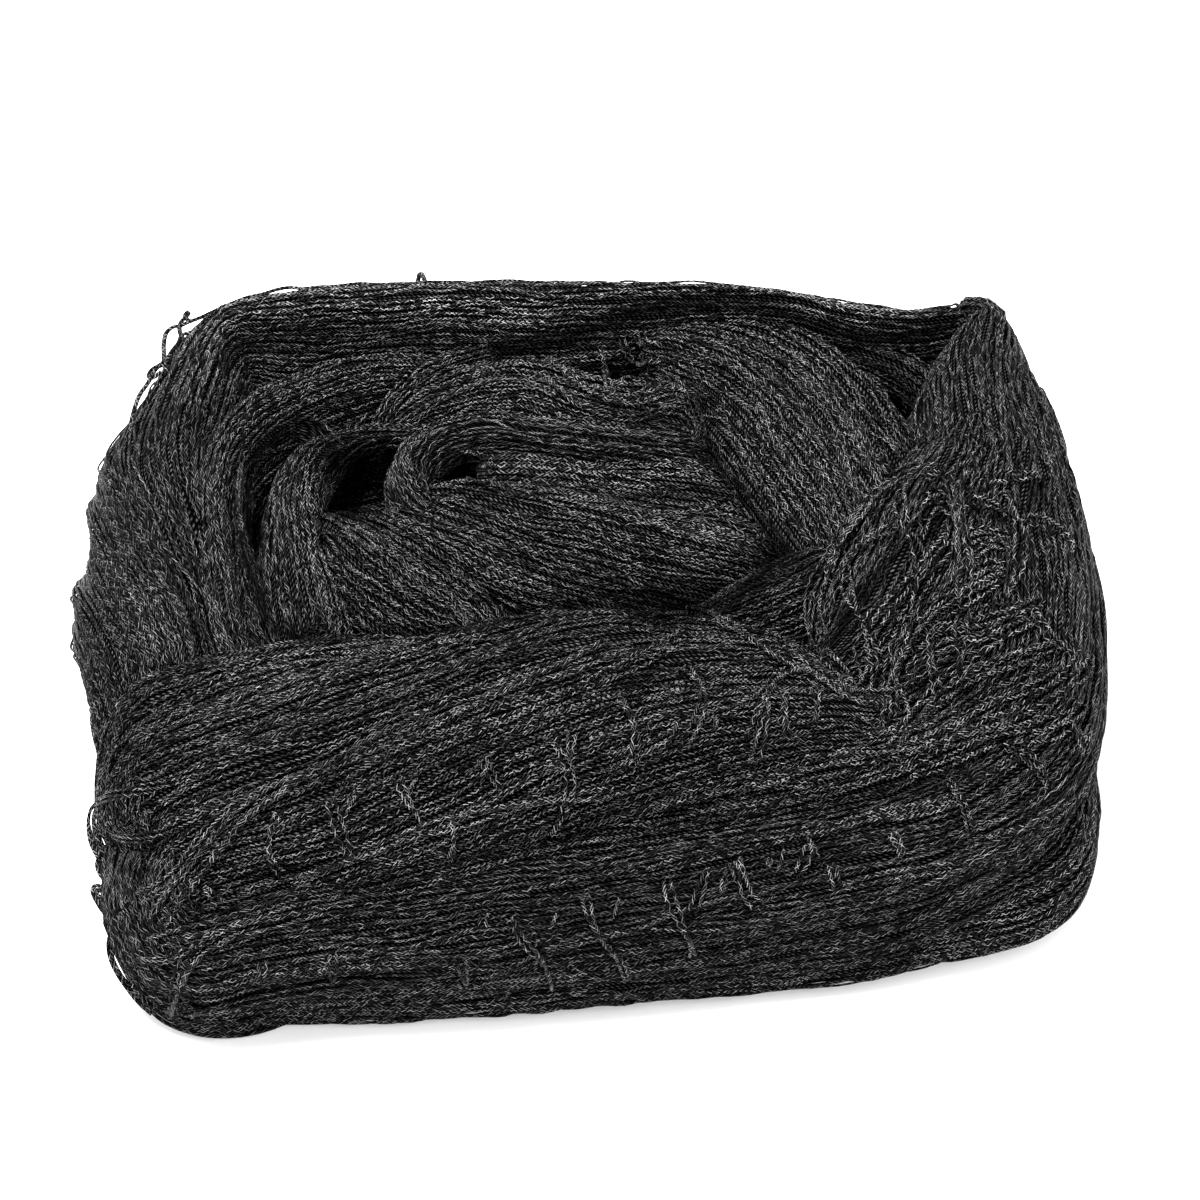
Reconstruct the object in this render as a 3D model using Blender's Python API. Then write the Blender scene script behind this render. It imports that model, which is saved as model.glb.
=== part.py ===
"""Bird netting: a long knitted net pulled shut into a soft rope, then wound and folded into one bundle.

Units are metres, +Z up. The bundle rests on z = 0 with its origin under the middle of its box.
Run it with: blender --background --python part.py
"""
import math

import bmesh
import bpy
import numpy as np

MM = 0.001

# ------------------------------------------------------------------ driving sizes, in millimetres
BUNDLE_SHIFT = (2.2, -6.7, 0.0)    # centres the bundle's box over the origin
STEP_LENGTH = 12.0                 # distance between sections along a fold
NOSE = 0.9                         # length of a fold's rounded end, as a share of its smaller half size
NOSE_RINGS = np.array([0.06, 0.3, 0.65])   # where the rings of a rounded end are, as shares of it
SIDES = {"wide": 20, "narrow": 12}         # points round one section
PLEATS = {"wide": 5, "narrow": 3}          # raised strand groups round one section
PLEAT_DEPTH = {"wide": 2.0, "narrow": 0.6}
FLOOR_BLOCK = (400.0, 400.0, 60.0)         # block that presses the bundle flat underneath

NETTING_COLOUR = (0.022, 0.022, 0.023, 1.0)
NETTING_ROUGHNESS = 0.6

# Each fold is one stretch of the gathered net, named with its width and how square its section is
# (2 is an ellipse). Its rows run along it. They hold the middle of the section, its half width and
# half height, and how far its strands have turned round the fold, in degrees.
ROW = ("x", "y", "z", "half_width", "half_height", "twist")

FOLDS = {
    "outer_turn": ("wide", 2.4, (
        (-114, -37, 28, 14, 26, -90),
        (-117, -11, 34, 19, 34, -75),
        (-121, 19, 39, 20, 40, -40),
        (-119, 44, 41, 19, 42, -5),
        (-112, 71, 42, 16, 43, 10),
        (-104, 97, 42, 13, 43, 10),
        (-81, 105, 42, 12, 44, 0),
        (-44, 108, 42, 12, 44, 0),
        (-15, 108, 42, 11, 44, 0),
        (9, 109, 42, 7, 44, 0),
        (32, 109, 42, 5, 44, 0),
        (55, 107, 42, 6, 43, 0),
        (74, 103, 41, 8, 42, 0),
        (91, 102, 41, 7, 41, 0),
        (113, 103, 43, 6, 41, 0),
    )),
    "right_turn": ("wide", 2.4, (
        (101, 102, 43, 7, 42, 0),
        (112, 100, 43, 10, 43, 0),
        (109, 79, 42, 21, 44, 0),
        (110, 49, 41, 26, 43, 0),
        (113, 20, 39, 26, 41, 0),
        (113, -6, 37, 26, 39, 0),
        (110, -29, 34, 26, 36, 0),
        (97, -45, 32, 28, 34, 0),
        (74, -53, 31, 31, 33, 5),
        (43, -57, 31, 33, 33, 10),
        (2, -62, 31, 34, 33, 15),
        (-38, -65, 30, 35, 32, 20),
        (-78, -67, 29, 35, 31, 25),
        (-127, -79, 26, 31, 28, 30),
    )),
    "front_roll": ("wide", 2.5, (
        (94, -32, 34, 18, 24, -45),
        (68, -35, 39, 23, 27, -40),
        (40, -38, 46, 30, 31, -30),
        (3, -42, 50, 36, 34, -15),
        (-39, -47, 49, 38, 34, 5),
        (-76, -50, 46, 38, 34, 25),
        (-106, -50, 40, 35, 32, 40),
        (-129, -52, 34, 24, 28, 50),
    )),
    "low_corner": ("narrow", 2.4, (
        (18, -77, 13, 12, 13, 0),
        (46, -72, 13, 14, 14, 0),
        (72, -64, 14, 16, 15, 0),
        (97, -58, 15, 18, 16, 0),
        (115, -50, 16, 18, 17, 0),
        (122, -30, 17, 16, 18, 0),
        (121, -6, 18, 14, 18, 0),
        (124, 16, 18, 10, 16, 0),
    )),
    "middle_fill": ("wide", 4.0, (
        (-106, 16, 18, 60, 19, 0),
        (-50, 20, 17, 84, 20, 0),
        (20, 26, 19, 86, 26, 0),
        (106, 26, 20, 78, 32, 0),
    )),
    "inner_bulge": ("wide", 2.2, (
        (-58, 51, 40, 6, 12, 60),
        (-45, 42, 44, 16, 18, 50),
        (-20, 37, 45, 25, 22, 25),
        (8, 39, 44, 28, 22, 0),
        (36, 41, 40, 28, 22, -15),
        (56, 42, 32, 22, 20, -25),
    )),
    "cross_band": ("wide", 2.2, (
        (16, 107, 56, 7, 11, 0),
        (30, 99, 61, 16, 15, 0),
        (47, 87, 62, 23, 17, 0),
        (61, 69, 60, 26, 18, 0),
        (71, 48, 58, 25, 18, 0),
        (78, 29, 54, 21, 18, 0),
        (80, 14, 48, 14, 16, 0),
    )),
    "fan": ("wide", 2.2, (
        (-74, 50, 38, 9, 11, 0),
        (-66, 38, 43, 16, 16, 0),
        (-50, 21, 43, 25, 20, 0),
        (-24, 3, 34, 31, 20, 0),
    )),
    "second_turn": ("narrow", 2.2, (
        (-93, -11, 24, 7, 28, 0),
        (-98, 0, 32, 8, 34, 0),
        (-101, 16, 36, 8, 36, 0),
        (-103, 35, 40, 8, 38, 0),
        (-101, 52, 40, 9, 38, 0),
        (-94, 67, 40, 10, 38, 0),
        (-82, 78, 40, 10, 37, 0),
        (-68, 87, 39, 9, 36, 0),
        (-50, 93, 37, 8, 34, 0),
        (-30, 96, 34, 6, 30, 0),
    )),
    "third_turn": ("narrow", 2.2, (
        (-82, -9, 22, 4, 26, 0),
        (-88, 2, 30, 4, 32, 0),
        (-93, 18, 34, 4, 36, 0),
        (-96, 34, 36, 3.5, 36, 0),
        (-96, 53, 36, 3.5, 36, 0),
        (-92, 64, 36, 3.5, 36, 0),
        (-86, 69, 35, 3.5, 35, 0),
        (-78, 68, 32, 3.5, 32, 0),
    )),
    "shoulder": ("narrow", 2.2, (
        (-36, 74, 57, 3, 4, 0),
        (-54, 75, 58, 3, 4, 0),
        (-68, 71, 58, 4, 6, 0),
        (-78, 60, 57, 6.5, 12, 0),
        (-82, 46, 54, 8, 16, 0),
        (-82, 31, 50, 9, 18, 0),
        (-79, 15, 44, 13, 20, 0),
        (-74, -2, 34, 15, 22, 0),
    )),
    "curl": ("narrow", 2.2, (
        (37, 68, 51, 9, 13, 0),
        (8, 66, 60, 6, 10, 0),
        (-14, 69, 62, 5, 8, 0),
        (-30, 71, 62, 5, 8, 0),
        (-44, 67, 60, 5, 9, 0),
        (-51, 57, 57, 6, 11, 0),
        (-48, 46, 53, 6, 10, 0),
        (-36, 42, 51, 5, 9, 0),
        (-21, 45, 50, 5, 8, 0),
        (-4, 54, 48, 6, 10, 0),
    )),
    "middle_fold": ("narrow", 2.2, (
        (-56, 80, 50, 4, 8, 0),
        (-43, 84, 56, 9, 12, 0),
        (-20, 84, 61, 12, 14, 0),
        (1, 78, 59, 13, 14, 0),
        (26, 76, 51, 17, 18, 0),
        (50, 70, 42, 20, 20, 0),
    )),
    "tuck": ("narrow", 2.2, (
        (27, 4, 42, 8, 10, 0),
        (44, 9, 48, 12, 12, 0),
        (60, 15, 53, 13, 12, 0),
        (72, 25, 57, 9, 8, 0),
    )),
    "tangle": ("wide", 2.2, (
        (112, 62, 70, 10, 12, 0),
        (106, 43, 71, 19, 14, 0),
        (98, 22, 67, 26, 16, 0),
        (90, 2, 61, 28, 18, 0),
        (79, -16, 53, 25, 18, 0),
        (60, -30, 46, 16, 15, 0),
    )),
    "corner_tuck": ("narrow", 2.2, (
        (60, 106, 58, 4, 6, 0),
        (77, 101, 62, 6, 8, 0),
        (90, 95, 61, 6, 8, 0),
        (98, 90, 54, 5, 8, 0),
    )),
    "low_wisp": ("narrow", 2.0, (
        (-74, 74, 50, 3, 5, 0),
        (-68, 82, 57, 4, 6, 0),
        (-57, 93, 61, 4, 6, 0),
        (-40, 103, 62, 4, 6, 0),
    )),
    "high_wisp": ("narrow", 2.0, (
        (-60, 78, 50, 4, 6, 0),
        (-54, 85, 59, 5, 7, 0),
        (-43, 94, 63, 5, 7, 0),
        (-26, 103, 63, 5, 7, 0),
    )),
}


def smooth_rows(rows):
    """Stations about a millimetre apart on a smooth curve through the rows."""
    rows = np.array(rows, float)
    ends = np.vstack([2 * rows[0] - rows[1], rows, 2 * rows[-1] - rows[-2]])
    made = []
    for before, start, end, after in zip(ends, ends[1:], ends[2:], ends[3:]):
        count = round(np.linalg.norm((end - start)[:3]))
        for t in np.arange(count) / count:
            straight = 2 * start + (end - before) * t
            bend = (2 * before - 5 * start + 4 * end - after) * t**2
            ease = (3 * start - before - 3 * end + after) * t**3
            made.append((straight + bend + ease) / 2)
    made.append(rows[-1])
    return np.array(made)


def section_axes(stations):
    """The across and up directions of each station's section."""
    along = np.gradient(stations[:, :3], axis=0)
    across = np.cross(along, [0.0, 0.0, 1.0])
    across /= np.linalg.norm(across, axis=1)[:, None]
    up = np.cross(across, along)
    return across, up / np.linalg.norm(up, axis=1)[:, None]


def sampled(places, length, columns):
    return np.stack([np.interp(places, length, column) for column in columns.T], axis=1)


def fold_points(size, squareness, rows):
    """Rings of points round a fold, following its strands as they turn, with a round nose at each end."""
    smooth = smooth_rows(rows)
    across, up = section_axes(smooth)
    steps = np.linalg.norm(np.diff(smooth[:, :3], axis=0), axis=1)
    length = np.concatenate([[0], np.cumsum(steps)])
    nose = NOSE * smooth[[0, -1], 3:5].min(axis=1)
    count = math.ceil((length[-1] - nose.sum()) / STEP_LENGTH) + 1
    middle = np.linspace(nose[0], length[-1] - nose[1], count)
    places = np.concatenate([nose[0] * NOSE_RINGS, middle, length[-1] - nose[1] * NOSE_RINGS[::-1]])
    stations = sampled(places, length, smooth)
    across, up = sampled(places, length, across), sampled(places, length, up)
    near = np.minimum(places / nose[0], (length[-1] - places) / nose[1]).clip(0, 1)[:, None]
    drawn_in = np.sqrt(1 - (1 - near) ** 2)

    lap = np.arange(SIDES[size]) * 2 * math.pi / SIDES[size]
    turn = lap + np.radians(stations[:, 5:6])
    cosine, sine = np.cos(turn), np.sin(turn)
    grow = (np.abs(cosine) ** squareness + np.abs(sine) ** squareness) ** (-1 / squareness)
    slim = stations[:, 3:5].min(axis=1)
    pleat = (slim / slim.max())[:, None] * PLEAT_DEPTH[size] * np.cos(PLEATS[size] * lap)
    wide = drawn_in * cosine * (grow * stations[:, 3:4] + pleat)
    high = drawn_in * sine * (grow * stations[:, 4:5] + pleat)
    return stations[:, None, :3] + wide[..., None] * across[:, None] + high[..., None] * up[:, None]


def link(name, mesh):
    mesh_data = bpy.data.meshes.new(name)
    mesh.to_mesh(mesh_data)
    mesh.free()
    made = bpy.data.objects.new(name, mesh_data)
    bpy.context.scene.collection.objects.link(made)
    return made


def make_fold(name, size, squareness, rows):
    points = (fold_points(size, squareness, rows) + BUNDLE_SHIFT) * MM
    sides = points.shape[1]
    mesh = bmesh.new()
    rings = [[mesh.verts.new(point) for point in ring] for ring in points]
    for ring, after in zip(rings, rings[1:]):
        for i in range(sides):
            j = (i + 1) % sides
            mesh.faces.new((ring[i], ring[j], after[j], after[i]))
    for end, ring in zip(rows[:: len(rows) - 1], (rings[0], rings[-1])):
        tip = mesh.verts.new([(value + shift) * MM for value, shift in zip(end, BUNDLE_SHIFT)])
        for i in range(sides):
            mesh.faces.new((tip, ring[i - 1], ring[i]))
    bmesh.ops.triangulate(mesh, faces=mesh.faces)
    bmesh.ops.recalc_face_normals(mesh, faces=mesh.faces)
    return link(name, mesh)


def make_floor_block():
    """The block under the bundle, with its top face at z = 0."""
    mesh = bmesh.new()
    bmesh.ops.create_cube(mesh, size=1.0)
    for vert in mesh.verts:
        vert.co.x *= FLOOR_BLOCK[0] * MM
        vert.co.y *= FLOOR_BLOCK[1] * MM
        vert.co.z = (vert.co.z - 0.5) * FLOOR_BLOCK[2] * MM
    return link("floor_block", mesh)


def combine(target, other, operation):
    step = target.modifiers.new(other.name, "BOOLEAN")
    step.operation = operation
    step.solver = "EXACT"
    step.object = other
    other.hide_render = True
    other.display_type = "WIRE"


def netting_material():
    material = bpy.data.materials.new("netting")
    material.use_nodes = True
    shader = material.node_tree.nodes["Principled BSDF"]
    shader.inputs["Base Color"].default_value = NETTING_COLOUR
    shader.inputs["Roughness"].default_value = NETTING_ROUGHNESS
    shader.inputs["Metallic"].default_value = 0.0
    return material


def main():
    for obj in list(bpy.data.objects):
        bpy.data.objects.remove(obj)
    folds = [make_fold(name, *form) for name, form in FOLDS.items()]
    bundle = folds[0]
    bundle.name = "net_bundle"
    for fold in folds[1:]:
        combine(bundle, fold, "UNION")
    combine(bundle, make_floor_block(), "DIFFERENCE")
    bundle.data.materials.append(netting_material())
    bundle.data.shade_smooth()


if __name__ == "__main__":
    main()
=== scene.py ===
"""Bird netting wound into one bundle: its strands, ropes, open meshes, threads and loose loops."""
import math

import bpy
import numpy as np
from mathutils import Matrix, Vector
from mathutils.bvhtree import BVHTree


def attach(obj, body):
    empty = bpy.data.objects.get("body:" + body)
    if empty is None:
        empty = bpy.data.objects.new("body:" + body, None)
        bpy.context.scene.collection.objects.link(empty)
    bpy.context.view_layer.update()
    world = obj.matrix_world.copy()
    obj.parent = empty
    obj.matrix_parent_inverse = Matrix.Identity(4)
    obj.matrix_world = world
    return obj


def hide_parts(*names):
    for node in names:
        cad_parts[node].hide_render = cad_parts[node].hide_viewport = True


bl_info = {
    "name": "Bird netting bundle",
    "version": (1, 0, 0),
    "blender": (4, 5, 0),
    "location": "3D View > Sidebar > Netting",
    "description": "Builds a wound bundle of black bird netting over its folds",
    "category": "Object",
}

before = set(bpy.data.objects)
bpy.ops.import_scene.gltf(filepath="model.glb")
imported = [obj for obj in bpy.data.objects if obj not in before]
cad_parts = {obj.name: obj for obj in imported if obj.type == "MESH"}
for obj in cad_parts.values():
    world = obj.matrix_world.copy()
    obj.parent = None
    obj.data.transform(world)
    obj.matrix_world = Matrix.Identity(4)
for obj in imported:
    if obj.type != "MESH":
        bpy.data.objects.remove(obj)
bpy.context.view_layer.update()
MM = 0.001

# ------------------------------------------------------------------ the wound form, in millimetres
# From the frame's origin to the point that the places below are measured from.
BUNDLE_SHIFT = np.array((2.2, -6.7, 0.0))
# How long a fold's rounded ends are, against its half thickness there.
NOSE = 0.9
# Nothing goes lower than this over the floor.
LOWEST_SKIN = 0.35
LOWEST_STRAND = 0.5
LOWEST_LOOP = 0.6
# Pleats along a fold: how many go round it and how deep they are.
PLEATS = {"wide": 5, "narrow": 3}
PLEAT_DEPTH = {"wide": 2.0, "narrow": 0.6}
# Smaller folds within a fold: how many go round it, how deep they are in millimetres, and how
# many millimetres along the fold it takes one to drift by one of its own widths.
SMALL_FOLDS = {
    "wide": ((11, 0.7, 310), (17, 0.5, -240), (29, 0.35, 170)),
    "narrow": ((5, 0.35, 200), (9, 0.25, -150)),
}
# Creases pressed into a fold: from and to along it, the angle round it, its spread and its depth.
CREASES = {"outer_turn": ((255, 395, 0.62, 0.3, 6.0), (255, 395, 0.15, 0.5, 4.0))}
CREASE_FADE = 12

# Each fold is one stretch of the gathered net, named with its width and how square its section is.
# Its rows hold the middle of the section, its half width and half height, and how far its
# strands have turned round the fold, in degrees.
FOLDS = {
    "outer_turn": ("wide", 2.4, (
        (-114, -37, 28, 14, 26, -90),
        (-117, -11, 34, 19, 34, -75),
        (-121, 19, 39, 20, 40, -40),
        (-119, 44, 41, 19, 42, -5),
        (-112, 71, 42, 16, 43, 10),
        (-104, 97, 42, 13, 43, 10),
        (-81, 105, 42, 12, 44, 0),
        (-44, 108, 42, 12, 44, 0),
        (-15, 108, 42, 11, 44, 0),
        (9, 109, 42, 7, 44, 0),
        (32, 109, 42, 5, 44, 0),
        (55, 107, 42, 6, 43, 0),
        (74, 103, 41, 8, 42, 0),
        (91, 102, 41, 7, 41, 0),
        (113, 103, 43, 6, 41, 0),
    )),
    "right_turn": ("wide", 2.4, (
        (101, 102, 43, 7, 42, 0),
        (112, 100, 43, 10, 43, 0),
        (109, 79, 42, 21, 44, 0),
        (110, 49, 41, 26, 43, 0),
        (113, 20, 39, 26, 41, 0),
        (113, -6, 37, 26, 39, 0),
        (110, -29, 34, 26, 36, 0),
        (97, -45, 32, 28, 34, 0),
        (74, -53, 31, 31, 33, 5),
        (43, -57, 31, 33, 33, 10),
        (2, -62, 31, 34, 33, 15),
        (-38, -65, 30, 35, 32, 20),
        (-78, -67, 29, 35, 31, 25),
        (-127, -79, 26, 31, 28, 30),
    )),
    "front_roll": ("wide", 2.5, (
        (94, -32, 34, 18, 24, -45),
        (68, -35, 39, 23, 27, -40),
        (40, -38, 46, 30, 31, -30),
        (3, -42, 50, 36, 34, -15),
        (-39, -47, 49, 38, 34, 5),
        (-76, -50, 46, 38, 34, 25),
        (-106, -50, 40, 35, 32, 40),
        (-129, -52, 34, 24, 28, 50),
    )),
    "low_corner": ("narrow", 2.4, (
        (18, -77, 13, 12, 13, 0),
        (46, -72, 13, 14, 14, 0),
        (72, -64, 14, 16, 15, 0),
        (97, -58, 15, 18, 16, 0),
        (115, -50, 16, 18, 17, 0),
        (122, -30, 17, 16, 18, 0),
        (121, -6, 18, 14, 18, 0),
        (124, 16, 18, 10, 16, 0),
    )),
    "middle_fill": ("wide", 4.0, (
        (-106, 16, 18, 60, 19, 0),
        (-50, 20, 17, 84, 20, 0),
        (20, 26, 19, 86, 26, 0),
        (106, 26, 20, 78, 32, 0),
    )),
    "inner_bulge": ("wide", 2.2, (
        (-58, 51, 40, 6, 12, 60),
        (-45, 42, 44, 16, 18, 50),
        (-20, 37, 45, 25, 22, 25),
        (8, 39, 44, 28, 22, 0),
        (36, 41, 40, 28, 22, -15),
        (56, 42, 32, 22, 20, -25),
    )),
    "cross_band": ("wide", 2.2, (
        (16, 107, 56, 7, 11, 0),
        (30, 99, 61, 16, 15, 0),
        (47, 87, 62, 23, 17, 0),
        (61, 69, 60, 26, 18, 0),
        (71, 48, 58, 25, 18, 0),
        (78, 29, 54, 21, 18, 0),
        (80, 14, 48, 14, 16, 0),
    )),
    "fan": ("wide", 2.2, (
        (-74, 50, 38, 9, 11, 0),
        (-66, 38, 43, 16, 16, 0),
        (-50, 21, 43, 25, 20, 0),
        (-24, 3, 34, 31, 20, 0),
    )),
    "second_turn": ("narrow", 2.2, (
        (-93, -11, 24, 7, 28, 0),
        (-98, 0, 32, 8, 34, 0),
        (-101, 16, 36, 8, 36, 0),
        (-103, 35, 40, 8, 38, 0),
        (-101, 52, 40, 9, 38, 0),
        (-94, 67, 40, 10, 38, 0),
        (-82, 78, 40, 10, 37, 0),
        (-68, 87, 39, 9, 36, 0),
        (-50, 93, 37, 8, 34, 0),
        (-30, 96, 34, 6, 30, 0),
    )),
    "third_turn": ("narrow", 2.2, (
        (-82, -9, 22, 4, 26, 0),
        (-88, 2, 30, 4, 32, 0),
        (-93, 18, 34, 4, 36, 0),
        (-96, 34, 36, 3.5, 36, 0),
        (-96, 53, 36, 3.5, 36, 0),
        (-92, 64, 36, 3.5, 36, 0),
        (-86, 69, 35, 3.5, 35, 0),
        (-78, 68, 32, 3.5, 32, 0),
    )),
    "shoulder": ("narrow", 2.2, (
        (-36, 74, 57, 3, 4, 0),
        (-54, 75, 58, 3, 4, 0),
        (-68, 71, 58, 4, 6, 0),
        (-78, 60, 57, 6.5, 12, 0),
        (-82, 46, 54, 8, 16, 0),
        (-82, 31, 50, 9, 18, 0),
        (-79, 15, 44, 13, 20, 0),
        (-74, -2, 34, 15, 22, 0),
    )),
    "curl": ("narrow", 2.2, (
        (37, 68, 51, 9, 13, 0),
        (8, 66, 60, 6, 10, 0),
        (-14, 69, 62, 5, 8, 0),
        (-30, 71, 62, 5, 8, 0),
        (-44, 67, 60, 5, 9, 0),
        (-51, 57, 57, 6, 11, 0),
        (-48, 46, 53, 6, 10, 0),
        (-36, 42, 51, 5, 9, 0),
        (-21, 45, 50, 5, 8, 0),
        (-4, 54, 48, 6, 10, 0),
    )),
    "middle_fold": ("narrow", 2.2, (
        (-56, 80, 50, 4, 8, 0),
        (-43, 84, 56, 9, 12, 0),
        (-20, 84, 61, 12, 14, 0),
        (1, 78, 59, 13, 14, 0),
        (26, 76, 51, 17, 18, 0),
        (50, 70, 42, 20, 20, 0),
    )),
    "tuck": ("narrow", 2.2, (
        (27, 4, 42, 8, 10, 0),
        (44, 9, 48, 12, 12, 0),
        (60, 15, 53, 13, 12, 0),
        (72, 25, 57, 9, 8, 0),
    )),
    "tangle": ("wide", 2.2, (
        (112, 62, 70, 10, 12, 0),
        (106, 43, 71, 19, 14, 0),
        (98, 22, 67, 26, 16, 0),
        (90, 2, 61, 28, 18, 0),
        (79, -16, 53, 25, 18, 0),
        (60, -30, 46, 16, 15, 0),
    )),
    "corner_tuck": ("narrow", 2.2, (
        (60, 106, 58, 4, 6, 0),
        (77, 101, 62, 6, 8, 0),
        (90, 95, 61, 6, 8, 0),
        (98, 90, 54, 5, 8, 0),
    )),
    "low_wisp": ("narrow", 2.0, (
        (-74, 74, 50, 3, 5, 0),
        (-68, 82, 57, 4, 6, 0),
        (-57, 93, 61, 4, 6, 0),
        (-40, 103, 62, 4, 6, 0),
    )),
    "high_wisp": ("narrow", 2.0, (
        (-60, 78, 50, 4, 6, 0),
        (-54, 85, 59, 5, 7, 0),
        (-43, 94, 63, 5, 7, 0),
        (-26, 103, 63, 5, 7, 0),
    )),
}
# How closely a fold's surface is built: the step along it, the sides round it and its lift.
SEARCH_SKIN = (5.0, 40, 0.0)
OUTER_SKIN = {"wide": (3.0, 64, -0.6), "narrow": (3.0, 32, -0.6)}
BODY_SKIN = {"wide": (4.0, 72, -1.5), "narrow": (3.0, 32, -1.5)}

# ------------------------------------------------------------------ how strands lie, in millimetres
# Folds whose strands fan out flat at their far end instead of going round it.
OPEN_FAR_ENDS = ("fan",)
# From one point to the next of a strand on a fold, of a loose one and of a line of painted shade.
POINT_STEP = 2.6
LOOSE_STEP = 2.2
PAINTED_LINE_STEP = 1.5
# Half way round the end of a fold a strand has this many points.
CAP_POINTS = 15
HALF_CAP = CAP_POINTS // 2
CAP_STEPS_ROUND = 2 * (CAP_POINTS - 1)
# Strands bunch up and part together: over which length, how much girth a bunch takes, how many
# there are at least and how strong that is, all times the flow of the fold.
FLOW = {"wide": 0.9, "narrow": 0.65}
BUNCHES = ((34, 26, 4, 1.0), (17, 10, 5, 0.4))
# A strand also wanders by itself: over which length and how far. A rover strays more, and lies
# higher.
OWN_WANDER = ((9, 0.25), (4, 0.2))
ROVER_SHARE = 0.3
ROVER_WANDER = (26, 1.5)
ROVER_LIFT = 0.35
# How far the joins drift from one strand to the next, and how uneven the spacing is.
JOIN_DRIFT = 2.5
UNEVEN_SPACING = 0.12
# How far a strand's middle lies out of the fold's outline, which is below 0 inside it, and how
# that changes: over which length and how far.
STRAND_LIFT = -0.75
LIFT_WANDER = (7, 0.3)
# Where a fold grows thinner, strands end one by one and dip under the others.
GOLDEN_SHARE = 0.618034
LAST_RANK = 0.97
ENDING_DIP = 1.2
ENDING_SPAN = 0.08
# How deep in another fold a strand, a rope or a stray is no longer seen.
HIDDEN = {"strand": 0.9, "rope": 0.3, "stray": 0.2}
# A point this low that faces this far down isn't seen either.
FLOOR_GAP = 0.6
FACING_DOWN = -0.5
# How light a strand is and how thick, against the settings: least and most.
TONES = {
    "strand": (0.75, 1.25),
    "loose": (0.85, 1.3),
    "loop": (0.8, 1.2),
    "rope": (0.9, 1.3),
    "stray": (0.8, 1.28),
}
GIRTHS = {"strand": (0.9, 1.1), "loose": (0.95, 1.05), "rope": (0.95, 1.1)}
# How much lighter a strand is where its bunch swings one way.
FLOW_TONE = 0.12
# How thick the strands of open meshes, traced ropes and loops are, against the settings.
MESH_GIRTH = 1.35
TRACED_ROPE_GIRTH = 1.1
LOOP_GIRTH = 1.45
SINGLE_LOOP_GIRTH = 1.9
# The stitches of each strand start anywhere within this length.
STITCH_START = 50
# How many sides the twine has, and how far the deep strands of the body lie apart.
TWINE_SIDES = 4
DEEP_SPACING = 1.05

# Which folds go into which piece of twine, and how the strands lie there: the distance between
# strands and how far a mesh is pulled open, in millimetres, and how light the strands are painted,
# set fold by fold as painted light and shade for how much light each fold gets.
CLOSE = (0.91, 0.2, 0.95)
TWINE_PIECES = {
    "outer_strands": (("outer_turn", 0.92, 0.2, 1.1),),
    "right_strands": (("right_turn", 0.95, 0.3, 0.7),),
    "front_strands": (("front_roll", 0.92, 0.3, 0.92), ("low_corner", 0.96, 0.25, 1.05)),
    "coil_strands": (
        ("second_turn", *CLOSE),
        ("third_turn", *CLOSE),
        ("shoulder", *CLOSE),
        ("curl", *CLOSE),
        ("middle_fold", *CLOSE),
        ("low_wisp", *CLOSE),
        ("high_wisp", *CLOSE),
    ),
    "inner_strands": (
        ("inner_bulge", *CLOSE),
        ("cross_band", *CLOSE),
        ("fan", *CLOSE),
        ("middle_fill", 1.6, 0.3, 0.95),
        ("tuck", *CLOSE),
        ("tangle", 1.05, 0.4, 0.9),
        ("corner_tuck", 0.91, 0.2, 0.75),
    ),
}

# Raised ropes that follow a fold: how many, over which share of its length, and how far round it.
ROPE_FIELDS = (
    ("right_turn", 30, (0.0, 0.95), (0.9, 1.9)),
    ("front_roll", 16, (0.0, 0.9), (0.9, 1.8)),
    ("outer_turn", 14, (0.05, 0.9), (0.0, 2.0)),
    ("inner_bulge", 6, (0.1, 0.8), (0.5, 1.5)),
    ("cross_band", 6, (0.1, 0.8), (0.5, 1.5)),
)
# Single threads that have sprung up: how many on each fold.
STRAYS = {
    "right_turn": 60,
    "front_roll": 40,
    "tangle": 25,
    "outer_turn": 50,
    "cross_band": 12,
    "inner_bulge": 12,
}

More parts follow.
